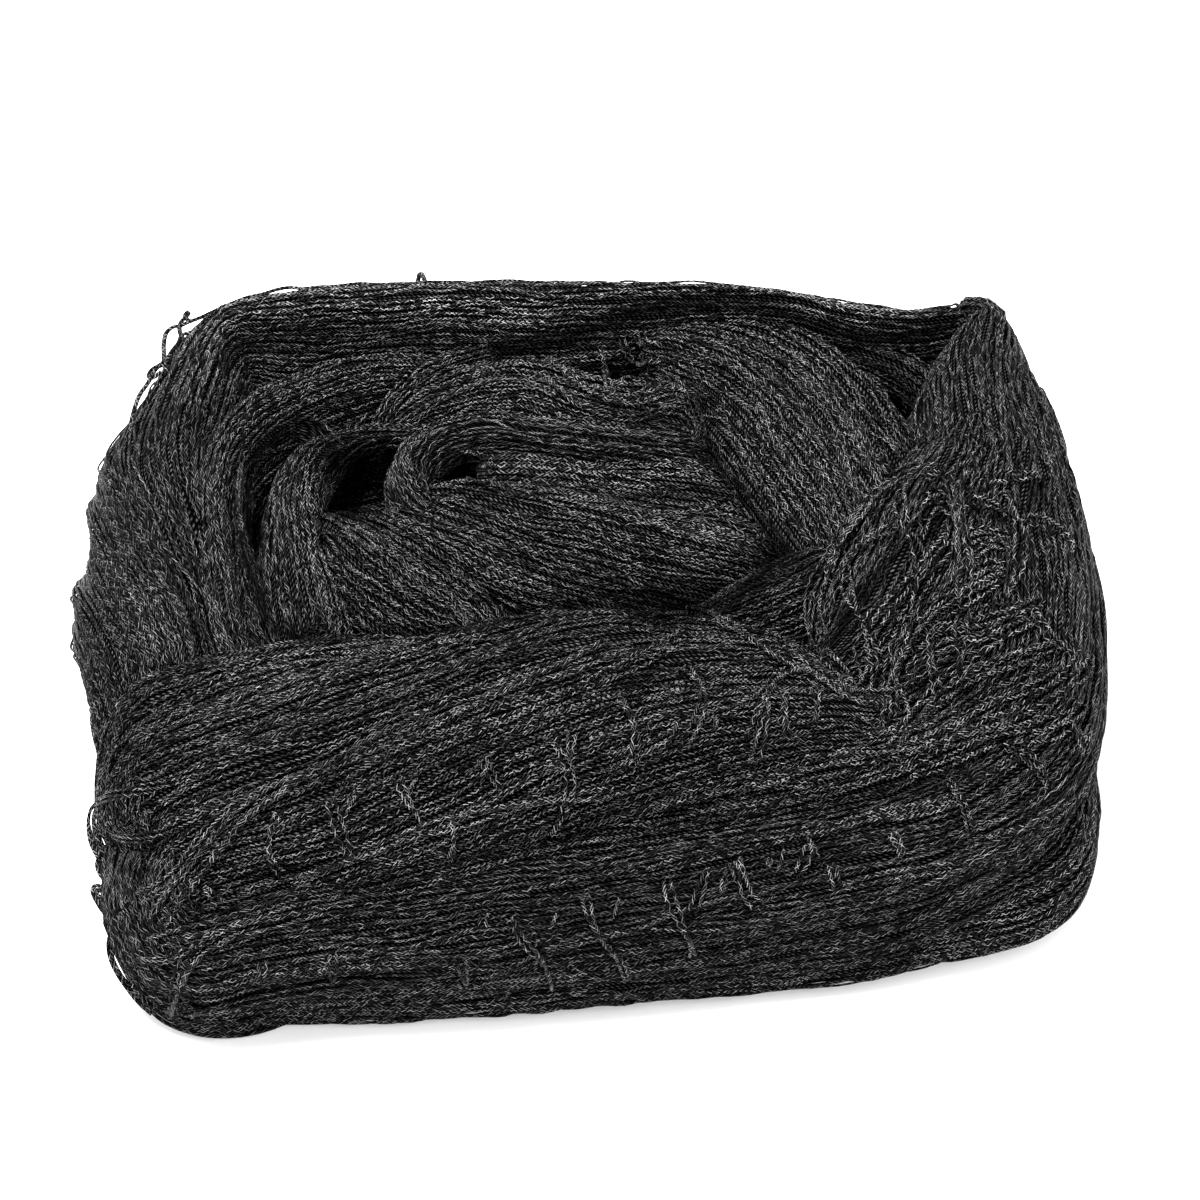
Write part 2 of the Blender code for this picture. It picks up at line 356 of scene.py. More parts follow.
# What lies loose on the folds. Each row gives how many strands, how wide they lie and how high over
# the folds, in millimetres, and the places they pass. A place is how far right it is, and how far
# back plus how high, so that it lies on the first fold met on a line that slants down and back.
OPEN_MESHES = (
    (2, 1.9, 2.6, ((69, 74), (70, 81), (73, 86), (76, 88), (79, 90), (82, 91), (84, 94))),
    (2, 1.9, 3, ((84, 93), (85, 100), (85, 106), (87, 110), (91, 112), (94, 113))),
    (2, 1.9, 2.2, ((69, 77), (70, 70), (71, 63), (73, 55), (75, 50), (76, 45), (77, 40))),
    (4, 3.8, 2.2, ((72, 52), (75, 59), (77, 63), (80, 66), (83, 69), (85, 72), (88, 77), (92, 81),
        (95, 85), (96, 90), (99, 96))),
    (3, 2.8, 3, ((99, 93), (98, 101), (97, 106), (95, 109), (96, 113), (99, 117), (102, 119),
        (106, 117))),
    (2, 1.8, 2.6, ((84, 94), (86, 90), (87, 86), (88, 81), (88, 76), (88, 71), (86, 66), (84, 61))),
    (2, 1.9, 2.8, ((90, 111), (92, 106), (94, 102), (97, 97), (98, 93), (100, 88), (100, 82),
        (100, 74), (100, 67), (99, 62))),
    (2, 1.8, 2.6, ((89, 87), (88, 93), (88, 99), (90, 103), (93, 106), (96, 106))),
    (2, 1.8, 2.2, ((111, 111), (113, 104), (114, 100), (115, 95), (115, 88), (114, 80), (113, 73),
        (110, 67))),
    (2, 1.5, 2, ((105, 113), (110, 113), (114, 113), (118, 112), (123, 114))),
    (2, 1.7, 1.8, ((115, 95), (120, 96), (124, 95), (127, 92), (129, 88), (130, 82))),
    (2, 1.6, 1.8, ((98, 104), (102, 105), (106, 104), (110, 102), (113, 98))),
    (8, 7.4, 1.4, ((99, 85), (103, 90), (107, 91), (111, 90), (114, 87))),
    (5, 5, 1.2, ((100, 75), (104, 79), (108, 80), (112, 78))),
    (3, 3.2, 1.6, ((99, 59), (104, 61), (108, 61), (112, 62), (117, 64), (120, 69))),
    (6, 6.2, 1.4, ((82, 55), (86, 59), (89, 61), (93, 65), (97, 67), (102, 70), (106, 74),
        (110, 78))),
    (6, 6.2, 1.2, ((82, 46), (86, 51), (90, 54), (95, 55), (102, 54), (107, 55), (112, 59),
        (117, 63))),
    (6, 6.2, 1.2, ((83, 37), (87, 42), (92, 45), (97, 47), (104, 51), (109, 55), (116, 61),
        (120, 65))),
    (3, 2.8, 1.8, ((80, 33), (79, 39), (80, 46), (81, 54), (84, 60))),
    (2, 1.6, 2.4, ((89, 63), (90, 54), (90, 47), (90, 39), (91, 34), (92, 29))),
    (2, 1.6, 2.4, ((99, 64), (98, 52), (98, 43), (97, 33))),
    (2, 1.6, 1.8, ((115, 66), (118, 60), (119, 54), (122, 50), (126, 47), (129, 45))),
    (3, 2.8, 1.4, ((61, 49), (63, 46), (66, 42), (69, 39), (69, 35), (66, 34), (62, 34))),
    (4, 4.2, 1.6, ((72, 53), (73, 47), (74, 41), (74, 36), (71, 32), (68, 31))),
    (2, 1.8, 2, ((80, 41), (81, 34), (82, 28), (83, 24), (81, 22))),
    (3, 2.6, 1.6, ((78, 34), (77, 28), (77, 24), (77, 19))),
    (4, 4.8, 1.2, ((75, 13), (82, 18), (86, 25), (90, 30), (94, 34), (99, 37), (104, 41), (110, 43),
        (117, 46), (123, 47))),
    (4, 4.8, 1.2, ((77, 8), (86, 12), (93, 18), (100, 21), (107, 25), (115, 28), (123, 34),
        (129, 41), (132, 49))),
    (4, 4.8, 1.2, ((80, 2), (91, 7), (98, 12), (107, 15), (115, 17), (123, 21), (128, 26),
        (131, 31))),
    (2, 1.7, 1.8, ((107, 15), (110, 12), (114, 9), (117, 3), (120, -3))),
    (2, 1.7, 1.8, ((124, 14), (127, 22), (129, 14), (130, 6))),
)
# Ropes are strands that are twisted round each other.
ROPES = (
    (5, 3.4, 1.6, ((-13, 163), (-7, 155), (0, 148), (8, 144), (15, 145), (22, 150), (27, 150),
        (31, 145), (32, 137), (34, 125))),
    (4, 2.8, 1.2, ((-14, 158), (-8, 148), (0, 142), (8, 138), (16, 139), (22, 143), (26, 143),
        (29, 138), (30, 127))),
    (4, 2.8, 1.4, ((-39, 125), (-36, 128), (-32, 129), (-29, 126), (-29, 122), (-32, 117),
        (-34, 113))),
    (7, 7, 1.6, ((62, 47), (62, 57), (62, 67), (65, 76), (67, 85), (70, 93), (73, 100), (77, 105))),
    (5, 4.6, 2.4, ((65, 71), (67, 83), (71, 94), (76, 103), (82, 109), (88, 112), (92, 114),
        (97, 115))),
    (6, 5.4, 2.6, ((98, 115), (98, 105), (98, 97), (98, 88), (98, 80), (96, 74), (93, 68), (89, 63),
        (86, 58), (83, 52), (82, 46), (80, 39), (79, 32))),
    (8, 6, 0.8, ((13, 59), (29, 61), (40, 55), (46, 46), (55, 42), (65, 33), (73, 30), (81, 32),
        (89, 38))),
    (8, 6, 1, ((40, 14), (44, 29), (50, 39), (55, 41), (60, 39), (65, 32), (69, 29), (76, 30))),
    (5, 3.5, 0.8, ((45, 36), (41, 29), (32, 27), (19, 17), (3, 8))),
    (7, 5, 0.8, ((13, -9), (32, -2), (48, 2), (58, 8), (68, 9), (78, 11), (87, 13), (98, 19),
        (111, 22), (121, 28), (128, 37))),
    (5, 3.5, 0.7, ((13, -17), (26, -13), (39, -10), (52, -7), (65, -3), (78, 3), (87, 8))),
    (5, 3.5, 0.9, ((13, -31), (26, -26), (39, -22), (51, -19), (64, -14), (76, -10), (87, -9),
        (97, -4))),
    (5, 3.5, 0.8, ((51, -19), (61, -18), (71, -13), (84, -12), (90, -8), (100, -2), (110, 9),
        (117, 12))),
    (7, 5, 0.9, ((70, 18), (78, 16), (88, 23), (92, 28), (98, 37), (112, 45), (126, 53))),
    (6, 4, 0.8, ((78, 15), (84, 17), (94, 23), (104, 30), (115, 37), (125, 43))),
    (5, 3.5, 0.7, ((99, -20), (107, -19), (117, -14), (128, -6))),
    (4, 3, 0.7, ((63, -38), (71, -33), (84, -31), (93, -29), (104, -29), (114, -25))),
    (9, 7, 1, ((-112, -52), (-109, -46), (-100, -29), (-91, -14), (-80, -3), (-67, 7), (-53, 16),
        (-40, 23), (-27, 32), (-10, 41), (8, 51))),
    (6, 4, 0.8, ((-118, -41), (-108, -36), (-98, -20), (-87, -5), (-74, 4), (-59, 13), (-45, 22))),
    (7, 5, 0.8, ((-65, -2), (-50, 10), (-35, 17), (-19, 25), (-3, 35), (8, 42), (26, 53))),
    (5, 3.5, 0.8, ((-77, -34), (-61, -26), (-40, -14), (-18, -6), (8, -2))),
    (5, 3.5, 0.8, ((-55, -37), (-34, -31), (-13, -24), (8, -19))),
    (5, 3.5, 0.8, ((-106, -85), (-94, -79), (-72, -74), (-56, -71), (-40, -73), (-18, -71),
        (8, -68))),
    (6, 4, 0.8, ((-114, -58), (-107, -53), (-93, -49), (-80, -43), (-61, -38))),
    (6, 4.5, 0.9, ((-109, -86), (-104, -70), (-101, -61), (-93, -53), (-80, -49), (-65, -43))),
    (4, 3, 0.8, ((-32, -71), (-24, -68), (-13, -60), (-3, -55), (8, -52), (28, -43), (49, -38))),
    (8, 6, 0.6, ((-124, -2), (-113, 16), (-101, 31), (-86, 41), (-70, 45), (-49, 47), (-31, 53))),
    (5, 3, 1.2, ((-1, 154), (1, 149), (5, 148), (7, 145), (11, 145), (16, 148), (20, 153),
        (24, 154), (28, 152), (30, 148), (32, 144))),
)
# Bars of single meshes that cross the strands under them.
CROSSING_BARS = (
    (2, 1.1, 1.4, ((-29, 12), (-26, 7), (-22, -4))),
    (2, 1, 1.4, ((-24, 11), (-26, 6), (-28, -1))),
    (2, 1.1, 1.5, ((-12, 19), (-7, 11), (-4, 4), (-6, -4), (-8, -12), (-11, -19))),
    (2, 1, 1.4, ((-4, 22), (-5, 14), (-5, 6))),
    (2, 1.1, 1.5, ((7, 32), (11, 22), (13, 16), (10, 6))),
    (2, 1, 1.4, ((18, 24), (15, 20), (13, 15))),
    (2, 1, 1.4, ((23, 26), (20, 16), (17, 9))),
    (2, 1.1, 1.4, ((46, 32), (44, 19), (41, 6))),
    (2, 1, 1.4, ((50, 33), (49, 23), (52, 14))),
    (2, 1.1, 1.4, ((-49, 6), (-48, -2), (-43, -10), (-41, -17))),
    (2, 1, 1.4, ((-43, 5), (-45, -1), (-46, -6))),
    (2, 1, 1.3, ((-36, -9), (-34, -18), (-37, -29))),
    (2, 1.1, 1.5, ((-2, -38), (0, -46), (1, -52), (6, -57), (8, -63), (10, -72))),
    (2, 1.1, 1.5, ((-20, -45), (-19, -54), (-12, -60), (-11, -67), (-9, -75))),
    (2, 1, 1.3, ((-27, -44), (-27, -54))),
    (2, 1, 1.3, ((-33, -61), (-32, -68), (-31, -76))),
    (2, 1.1, 1.5, ((20, -31), (21, -45), (25, -51), (27, -65))),
    (2, 1.1, 1.5, ((38, -23), (39, -36), (41, -43), (46, -44))),
    (2, 1, 1.4, ((31, -27), (28, -37), (25, -48))),
    (2, 1, 1.3, ((35, -31), (33, -42))),
    (2, 1, 1.4, ((58, -20), (55, -28), (52, -35))),
    (1, 0.5, 1.3, ((50, -21), (48, -33))),
    (1, 0.5, 1.3, ((8, -38), (5, -50))),
    (1, 0.5, 1.3, ((-8, -44), (-11, -55))),
    (2, 1.2, 1.4, ((23, 45), (25, 41), (29, 34), (30, 30), (28, 27), (26, 20), (24, 13), (22, 11))),
    (2, 1.2, 1.3, ((33, 28), (31, 18))),
    (2, 1.2, 1.3, ((50, 34), (49, 28), (50, 19))),
    (2, 1.2, 1.3, ((58, 35), (58, 28), (59, 20))),
    (2, 1.2, 1.3, ((78, 33), (78, 28), (77, 20))),
    (2, 1.2, 1.3, ((80, 39), (82, 31), (82, 24))),
    (3, 1.6, 1.3, ((91, 3), (92, -3), (97, -4), (97, -12), (97, -19), (100, -20))),
    (3, 1.6, 1.3, ((77, -14), (78, -22), (82, -28))),
    (2, 1.2, 1.3, ((106, 14), (110, 10), (115, 9), (117, -1), (120, -5))),
    (2, 1.2, 1.3, ((124, 27), (127, 15), (130, 8))),
    (2, 1.2, 1.3, ((35, -26), (38, -31), (39, -38))),
    (2, 1, 1.3, ((36, -27), (34, -34))),
    (3, 1.6, 1.3, ((61, -27), (62, -33), (65, -39))),
    (2, 1.2, 1.3, ((54, -18), (58, -21), (57, -29))),
    (2, 1.2, 1.3, ((45, -31), (47, -24))),
    (2, 1.2, 1.4, ((-66, -2), (-65, -8), (-62, -18), (-60, -26), (-61, -29))),
    (2, 1, 1.4, ((-59, -1), (-64, -15))),
    (2, 1.2, 1.3, ((-78, -7), (-81, -16), (-82, -23), (-77, -34))),
    (2, 1.2, 1.3, ((-99, -35), (-93, -44))),
    (2, 1.2, 1.3, ((-110, -45), (-105, -53))),
    (2, 1.2, 1.3, ((-84, -61), (-84, -72))),
    (2, 1.2, 1.3, ((-65, -58), (-66, -73))),
    (2, 1.2, 1.6, ((3, 171), (3, 165), (4, 159), (4, 151), (7, 146))),
    (2, 1.2, 1.6, ((9, 176), (8, 171), (11, 166), (16, 163), (21, 164))),
    (2, 1.2, 1.3, ((12, 176), (14, 172), (17, 169))),
    (2, 1.2, 1.3, ((15, 176), (17, 172), (21, 169))),
    (2, 1.2, 1.3, ((6, 154), (9, 153), (13, 155), (17, 158))),
)
# How far open the meshes of the two tables of meshes stand.
MESH_OPENING = 0.9

# Painted shade where the strands lie deep between folds, in creases and in holes: how dark it
# paints them (below 0, painted light on a crest), how far to each side in millimetres, and the
# places the painted shade follows.
PAINTED_SHADE_AND_LIGHT = (
    (0.9, 4, ((-26, 168), (-14, 170), (-5, 174), (3, 178), (11, 183), (20, 185), (31, 187),
        (40, 187), (50, 184), (58, 181), (68, 176), (77, 174), (85, 173), (93, 174), (102, 179))),
    (0.45, 3.5, ((-104, 160), (-100, 168), (-93, 173), (-82, 175), (-62, 176), (-43, 173),
        (-26, 168))),
    (-0.7, 6, ((-112, 170), (-105, 178), (-96, 182), (-82, 185), (-65, 185), (-48, 184), (-31, 183),
        (-14, 183), (0, 188), (14, 192), (31, 194), (48, 191), (65, 186), (82, 183), (92, 183))),
    (0.5, 3, ((-110, 142), (-110, 120), (-111, 99), (-110, 83), (-108, 69), (-105, 52),
        (-100, 42))),
    (0.9, 4, ((-79, 130), (-85, 133), (-90, 130), (-94, 121), (-95, 112), (-95, 101), (-93, 90),
        (-92, 79), (-89, 69), (-87, 60), (-84, 55))),
    (0.9, 8, ((-73, 124), (-69, 122), (-65, 125), (-68, 116), (-69, 108), (-66, 100))),
    (0.6, 3, ((-39, 126), (-36, 122), (-35, 117), (-28, 109))),
    (0.9, 4.5, ((-78, 54), (-73, 54))),
    (0.85, 3.5, ((-82, 51), (-68, 52), (-57, 53), (-43, 54), (-28, 57), (-13, 60), (2, 62),
        (14, 63))),
    (0.7, 4.5, ((-8, 66), (3, 67), (14, 68), (25, 69), (34, 72))),
    (0.93, 8, ((16, 61), (27, 62), (35, 64), (42, 70), (48, 78), (52, 86))),
    (0.75, 3.5, ((32, 126), (37, 118), (42, 110), (44, 104), (52, 91), (56, 83), (59, 78),
        (62, 70))),
    (0.85, 5, ((29, 145), (32, 139), (33, 131), (33, 125))),
    (0.7, 6, ((6, 160), (11, 155), (16, 159))),
    (0.5, 5, ((3, 142), (14, 138), (25, 137))),
    (0.6, 3, ((-35, 100), (-25, 106), (-14, 112), (-5, 117), (3, 121), (11, 123), (17, 124))),
    (0.65, 3.5, ((7, 106), (19, 108), (30, 109), (39, 110))),
    (-0.45, 7, ((0, 113), (11, 116), (22, 117), (32, 117))),
    (0.8, 4, ((74, 167), (80, 164), (87, 156), (91, 150), (92, 141))),
    (0.93, 5, ((64, 49), (66, 52), (68, 59), (69, 63))),
    (0.85, 3.4, ((72, 71), (73, 66))),
    (0.85, 4.6, ((76, 73), (79, 79), (83, 85), (85, 90))),
    (0.93, 4, ((92, 103), (92, 98), (92, 91))),
    (0.9, 3.4, ((108, 100), (112, 98), (114, 95))),
    (0.85, 3.2, ((117, 104), (120, 109), (123, 112))),
    (0.75, 3.4, ((111, 82), (111, 74))),
    (0.6, 3, ((99, 101), (104, 101))),
    (0.7, 3, ((85, 33), (88, 34))),
    (0.7, 3, ((97, 34), (98, 30))),
    (0.6, 3, ((119, 32), (122, 35))),
    (0.6, 5, ((9, 36), (13, 38), (18, 41))),
    (0.5, 3.5, ((-103, -45), (-79, -40), (-55, -35), (-33, -29), (-10, -23), (10, -18), (30, -13),
        (54, -8), (72, -4), (88, -1), (99, -1), (105, 2))),
    (0.4, 9, ((-7, -51), (2, -47), (18, -39), (36, -31), (49, -27), (64, -24))),
    (0.5, 4, ((-104, -78), (-95, -78), (-84, -77), (-72, -74), (-61, -72), (-43, -69))),
    (0.4, 4, ((-86, 9), (-71, 19), (-55, 29), (-41, 36), (-27, 43), (-13, 50), (2, 56))),
    (0.45, 6, ((-73, -5), (-58, 3), (-43, 8), (-28, 13))),
    (0.45, 16, ((-121, 137), (-125, 113), (-127, 90), (-130, 67), (-127, 37), (-120, 9))),
    (-0.35, 12, ((97, -55), (108, -46), (119, -37), (127, -26), (132, -16))),
)

# Loops that stand off the left end and threads along the top: strands, width, and places.
LOOSE_LOOPS = (
    (5, 2.6, ((-125, -46.9, 37), (-128.7, -46.5, 37), (-131.1, -47.4, 36), (-131.7, -50.8, 35),
        (-130.8, -55.6, 34), (-128.7, -60.3, 33), (-125.5, -64.3, 32), (-122, -68.5, 32))),
    (4, 2.0, ((-125.9, -58.9, 33), (-128.7, -61.5, 32), (-128.5, -64.1, 31), (-126.5, -66.7, 30),
        (-123, -71.6, 30))),
    (3, 1.2, ((-122.5, -72.6, 28), (-126.5, -69.5, 28), (-129.5, -67.4, 28), (-130.3, -68.3, 27),
        (-128.3, -71.9, 26), (-125.2, -76.8, 26), (-122, -81.2, 26))),
    (5, 2.2, ((-118.9, -76.1, 24), (-123.1, -76.9, 23), (-125.1, -79.7, 21), (-124.7, -83.5, 19),
        (-122.9, -86.4, 16), (-120.5, -88.2, 12), (-117.6, -90.4, 9), (-113.5, -94, 8))),
    (2, 0.9, ((-114.5, -88, 22), (-118.1, -90.4, 20), (-118.6, -91.1, 16), (-116, -91.2, 12))),
    (7, 4.4, ((-119.4, -82.2, 15), (-117.4, -86.6, 13), (-115, -89.9, 10), (-111.6, -92.2, 7),
        (-106.9, -93.9, 5), (-100.9, -95.1, 4), (-94.4, -94.6, 3), (-87.7, -92.9, 2.5),
        (-81.1, -89.4, 2), (-75.3, -84.9, 1))),
    (4, 3.0, ((-123.1, -76.8, 20), (-121, -82.6, 18), (-118.6, -86.1, 14), (-116.3, -88.4, 11))),
    (6, 4.6, ((-33.7, 74.6, 47), (-30.2, 65.4, 56), (-25.2, 60, 61), (-16.8, 59.6, 61),
        (-8.4, 58.4, 61), (-0.1, 56.4, 61), (6.1, 56.5, 59))),
    (6, 4.6, ((-31.6, 62.6, 54), (-27.9, 55.5, 61), (-20.9, 53.4, 63), (-12.6, 52.6, 63),
        (-2.8, 51, 63), (6.9, 50.7, 61))),
    (1, 0.0, ((-128.7, 51.9, 72), (-128, 55.8, 74), (-127, 61.8, 76), (-125.9, 67, 78),
        (-124.9, 70.1, 79), (-123.4, 73.1, 80), (-122.5, 76.5, 80), (-120.3, 79.8, 80),
        (-116.9, 79, 80))),
    (1, 0.0, ((-120.1, 77.3, 80), (-121.9, 74.8, 80), (-123, 75.6, 80), (-122.4, 78.1, 80),
        (-120.3, 80.2, 80), (-119.3, 81.9, 80), (-119.8, 88.2, 80), (-119.4, 93.3, 80),
        (-117.9, 95.9, 80), (-115.9, 96.8, 80), (-113.3, 98.9, 80), (-110, 100.6, 80),
        (-106.7, 102.8, 80), (-103.5, 105.4, 80), (-100.5, 107.6, 80), (-97.5, 109.3, 80),
        (-93.6, 110.6, 80), (-89.6, 111.2, 81), (-85.4, 112.1, 81), (-81.3, 111.2, 81),
        (-77.6, 110.6, 80))),
    (1, 0.0, ((-82.7, 111.2, 81), (-77.1, 112.5, 81), (-71.3, 111.8, 82), (-65.7, 112.6, 82),
        (-60, 112.6, 82), (-54.3, 113.1, 82), (-48, 113.1, 82), (-42.9, 111.8, 82),
        (-40, 110.3, 81))),
    (1, 0.0, ((-118, 77.6, 79), (-118.7, 81.5, 80), (-117.7, 86.1, 80), (-116, 89.5, 80),
        (-115.1, 92.9, 80), (-112.4, 94.2, 80), (-110, 95.9, 80), (-107, 98.5, 80),
        (-103.7, 100.2, 80))),
    (1, 0.0, ((-110.7, 86.5, 80), (-113.1, 88.2, 80), (-115, 91.2, 80), (-116.1, 94.6, 80),
        (-115.8, 98.1, 80), (-114.5, 100.2, 80), (-113.8, 102.4, 80), (-114.7, 102.8, 80),
        (-115.1, 100.6, 80), (-113.2, 98.5, 80))),
    (1, 0.0, ((-50.8, 110, 82), (-49.2, 113.1, 82), (-48.7, 116.6, 82), (-48.1, 116.1, 82),
        (-47.1, 112.6, 82), (-45.6, 110, 82))),
    (1, 0.0, ((-35.4, 110.9, 82), (-31.4, 112.3, 83), (-24.3, 113.2, 83), (-17.2, 112.3, 83),
        (-9.8, 111.5, 83), (-1.6, 111.9, 83), (5.6, 111, 83), (9.8, 109.1, 82))),
)
# Out of the bundle, towards where the loops open.
LOOP_FACE = np.array([0.0, -1.0, 1.0])

# ------------------------------------------------------------------ stage, in metres and watts
CAMERA_AIM = Vector((2.7, 11.1, 56.1))
SKY_STRENGTH = 2.1
FLOOR_CORNERS = ((-4, -4, 0), (4, -4, 0), (4, 4, 0), (-4, 4, 0))
LAMPS = (("key", (-0.3, -0.15, 1.4), 0.6, 76.0), ("fill", (0.8, -0.9, 0.9), 0.9, 8.0))


# ------------------------------------------------------------------ what a user may change
class NettingSettings(bpy.types.PropertyGroup):
    """Sizes and colours of the netting."""

    twine: bpy.props.FloatProperty(
        name="Twine",
        description="Thickness of one strand",
        default=0.00076,
        unit="LENGTH",
        precision=5,
    )
    twist: bpy.props.FloatProperty(
        name="Stitch turn",
        description="Length in which the stitches go once round the twine",
        default=0.0042,
        unit="LENGTH",
        precision=5,
    )
    mesh_bar: bpy.props.FloatProperty(
        name="Mesh bar",
        description="Distance from one join of the net to the next",
        default=0.015,
        unit="LENGTH",
        precision=4,
    )
    # The colour a leg reaches where its painted glint is 1; brighter glints go past it.
    colour: bpy.props.FloatVectorProperty(
        name="Twine colour",
        description="Colour of the twine",
        subtype="COLOR",
        size=3,
        default=(0.05, 0.05, 0.0505),
    )
    # Painted shade: the near-black colour between the legs of the stitches and between the deep
    # strands.
    shade: bpy.props.FloatVectorProperty(
        name="Deep colour",
        description="Colour between the stitches",
        subtype="COLOR",
        size=3,
        default=(0.0006, 0.0006, 0.0006),
    )


class StageSettings(bpy.types.PropertyGroup):
    """Floor, light and camera."""

    floor: bpy.props.FloatVectorProperty(
        name="Floor",
        description="Colour of the floor",
        subtype="COLOR",
        size=3,
        default=(0.9, 0.9, 0.9),
    )
    distance: bpy.props.FloatProperty(
        name="Distance",
        description="From the camera to the bundle",
        default=1.1,
        unit="LENGTH",
    )
    elevation: bpy.props.FloatProperty(
        name="Elevation",
        description="How far the camera looks down",
        default=math.radians(45),
        subtype="ANGLE",
    )
    lens: bpy.props.FloatProperty(
        name="Lens",
        description="Focal length in millimetres",
        default=121.4,
    )


# ------------------------------------------------------------------ surfaces of the folds
def curve_between(rows, shares):
    """Rows on a smooth curve through these, but not the last. Shares says where in each gap."""
    rows = np.array(rows, float)
    ends = np.vstack([2 * rows[0] - rows[1], rows, 2 * rows[-1] - rows[-2]])
    made = []
    for before, start, end, after in zip(ends, ends[1:], ends[2:], ends[3:]):
        for t in shares(start, end):
            straight = 2 * start + (end - before) * t
            bend = (2 * before - 5 * start + 4 * end - after) * t**2
            ease = (3 * start - before - 3 * end + after) * t**3
            made.append((straight + bend + ease) / 2)
    return made


def millimetre_shares(start, end):
    count = round(np.linalg.norm((end - start)[:3]))
    return np.arange(count) / count


def tenths(start, end):
    return np.arange(0, 1, 0.1)


def fifths(start, end):
    return np.arange(0, 1, 0.2)


def smooth_rows(rows):
    """Stations about a millimetre apart on a smooth curve through the rows."""
    return np.array(curve_between(rows, millimetre_shares) + [np.array(rows[-1], float)])


def run_along(points):
    """How far along a line each of its points is."""
    steps = np.linalg.norm(np.diff(points, axis=0), axis=1)
    return np.concatenate([[0], np.cumsum(steps)])


def unit(vectors):
    return vectors / np.linalg.norm(vectors, axis=-1, keepdims=True)


def roundness(cosine, sine, power):
    """How far out a section of this squareness reaches, against a round one."""
    return (np.abs(cosine) ** power + np.abs(sine) ** power) ** (-1 / power)


# Angles round a section, from its bottom and back to it.
RING = np.linspace(-math.pi / 2, 1.5 * math.pi, 129)


class Fold:
    """The surface of one fold. A place on it is a length along it and an angle round it."""

    def __init__(self, name, size, squareness, rows):
        self.name, self.size, self.squareness = name, size, squareness
        self.smooth = smooth_rows(rows)
        self.along = unit(np.gradient(self.smooth[:, :3], axis=0))
        self.across = unit(np.cross(self.along, [0.0, 0.0, 1.0]))
        self.up = unit(np.cross(self.across, self.along))
        self.length = run_along(self.smooth[:, :3])
        self.nose = NOSE * self.smooth[[0, -1], 3:5].min(axis=1)
        self.slimmest = self.smooth[:, 3:5].min(axis=1).max()
        cosine, sine = np.cos(RING), np.sin(RING)
        grow = roundness(cosine, sine, squareness)
        ring = self.smooth[:, 3:5, None] * np.stack([cosine * grow, sine * grow])
        arc = np.cumsum(np.hypot(*np.diff(ring, axis=2).transpose(1, 0, 2)), axis=1)
        self.girths = arc[:, -1]
        self.girth = self.girths.max()
        self.shares = np.hstack([np.zeros((len(arc), 1)), 2 * arc / arc[:, -1:]])

    def at(self, place, columns):
        return np.stack([np.interp(place, self.length, column) for column in columns.T], axis=-1)

    def local_girth(self, place):
        return np.interp(place, self.length, self.girths)

    def nearest_rows(self, place):
        return np.searchsorted(self.length, place).clip(0, len(self.length) - 1)

    def lap_of(self, place, share):
        """Angles of shares of the way round: 0 is the bottom, 1 the top and 2 the bottom again."""
        near = self.nearest_rows(place)
        return np.array([np.interp(row % 2, self.shares[k], RING) for k, row in zip(near, share)])

    def share_of(self, place, lap):
        near = self.nearest_rows(place)
        lap = (lap - RING[0]) % math.tau + RING[0]
        return np.array([np.interp(row, RING, self.shares[k]) for k, row in zip(near, lap)])

    def hank(self, strands, step, shift, wrapped):
        """Closed strands that run along one side, round an end and back: places and angles."""
        share = (np.arange(strands) + 0.5) / strands
        turn = np.linspace(-math.pi / 2, math.pi / 2, CAP_POINTS)[:, None]
        count = math.ceil(self.length[-1] / step) + 1
        body = np.linspace(self.nose[0], self.length[-1] - self.nose[1], count)[1:-1]
        caps = []
        for end in (0, 1):
            level = self.lap_of(body[[0, -1]][[end]], share[None])[0]
            near = 1 - np.cos(level) * np.cos(turn)
            side = np.arctan2(np.sin(level), np.cos(level) * np.sin(turn))
            if not wrapped[end]:
                near = np.abs(np.sin(turn)) + 0 * level
                side = np.where(turn < 0, math.pi - level, level)
            caps.append((self.nose[end] * near, side))
        near_cap, far_cap = caps
        far, far_side = self.length[-1] - far_cap[0], far_cap[1]
        tiled = np.tile(body[:, None], (1, strands))
        # A strand starts in the middle of the far cap, so that cap is cut in two.
        first_half, last_half = slice(HALF_CAP, 0, -1), slice(None, HALF_CAP - 1, -1)
        place = np.vstack(
            [far[first_half], far[:1], tiled[::-1], near_cap[0], tiled, far[last_half]]
        )
        there_start = HALF_CAP + 1
        there_end = there_start + len(body)
        back_start = there_end + CAP_POINTS
        back_end = back_start + len(body)
        laps = []
        for low, high in ((0, there_start), (there_end, back_start), (back_end, len(place))):
            laps.append(shift[low:high] * math.tau / self.local_girth(place[low:high]))
        there, back = slice(there_start, there_end), slice(back_start, back_end)
        girth = self.local_girth(body)[:, None]
        there = self.lap_of(body[::-1], 2 - share[None] + 2 * shift[there] / girth[::-1])
        back = self.lap_of(body, share[None] + 2 * shift[back] / girth)
        first = np.vstack([far_side[first_half], far_side[:1]]) + laps[0]
        last = far_side[last_half] + laps[2]
        return place, np.vstack([first, there, near_cap[1] + laps[1], back, last])

    def hank_rows(self, step):
        """How far along itself each point of a closed strand is."""
        body = math.ceil(self.length[-1] / step) - 1
        near_step, far_step = self.girths[[0, -1]] / CAP_STEPS_ROUND
        half = [far_step] * (HALF_CAP + 1)
        stretch = [self.length[-1] / body] * body
        return np.cumsum(half + stretch + [near_step] * CAP_POINTS + stretch + half)

    def stations(self, step):
        """Lengths along the fold, closer together on its rounded ends."""
        count = max(4, math.ceil(self.length[-1] / step))
        share = (1 - np.cos(np.linspace(0.02, 1, 5) * math.pi / 2))[:-1]
        middle = np.linspace(self.nose[0], self.length[-1] - self.nose[1], count)
        last = self.length[-1] - self.nose[1] * share[::-1]
        return np.concatenate([self.nose[0] * share, middle, last])

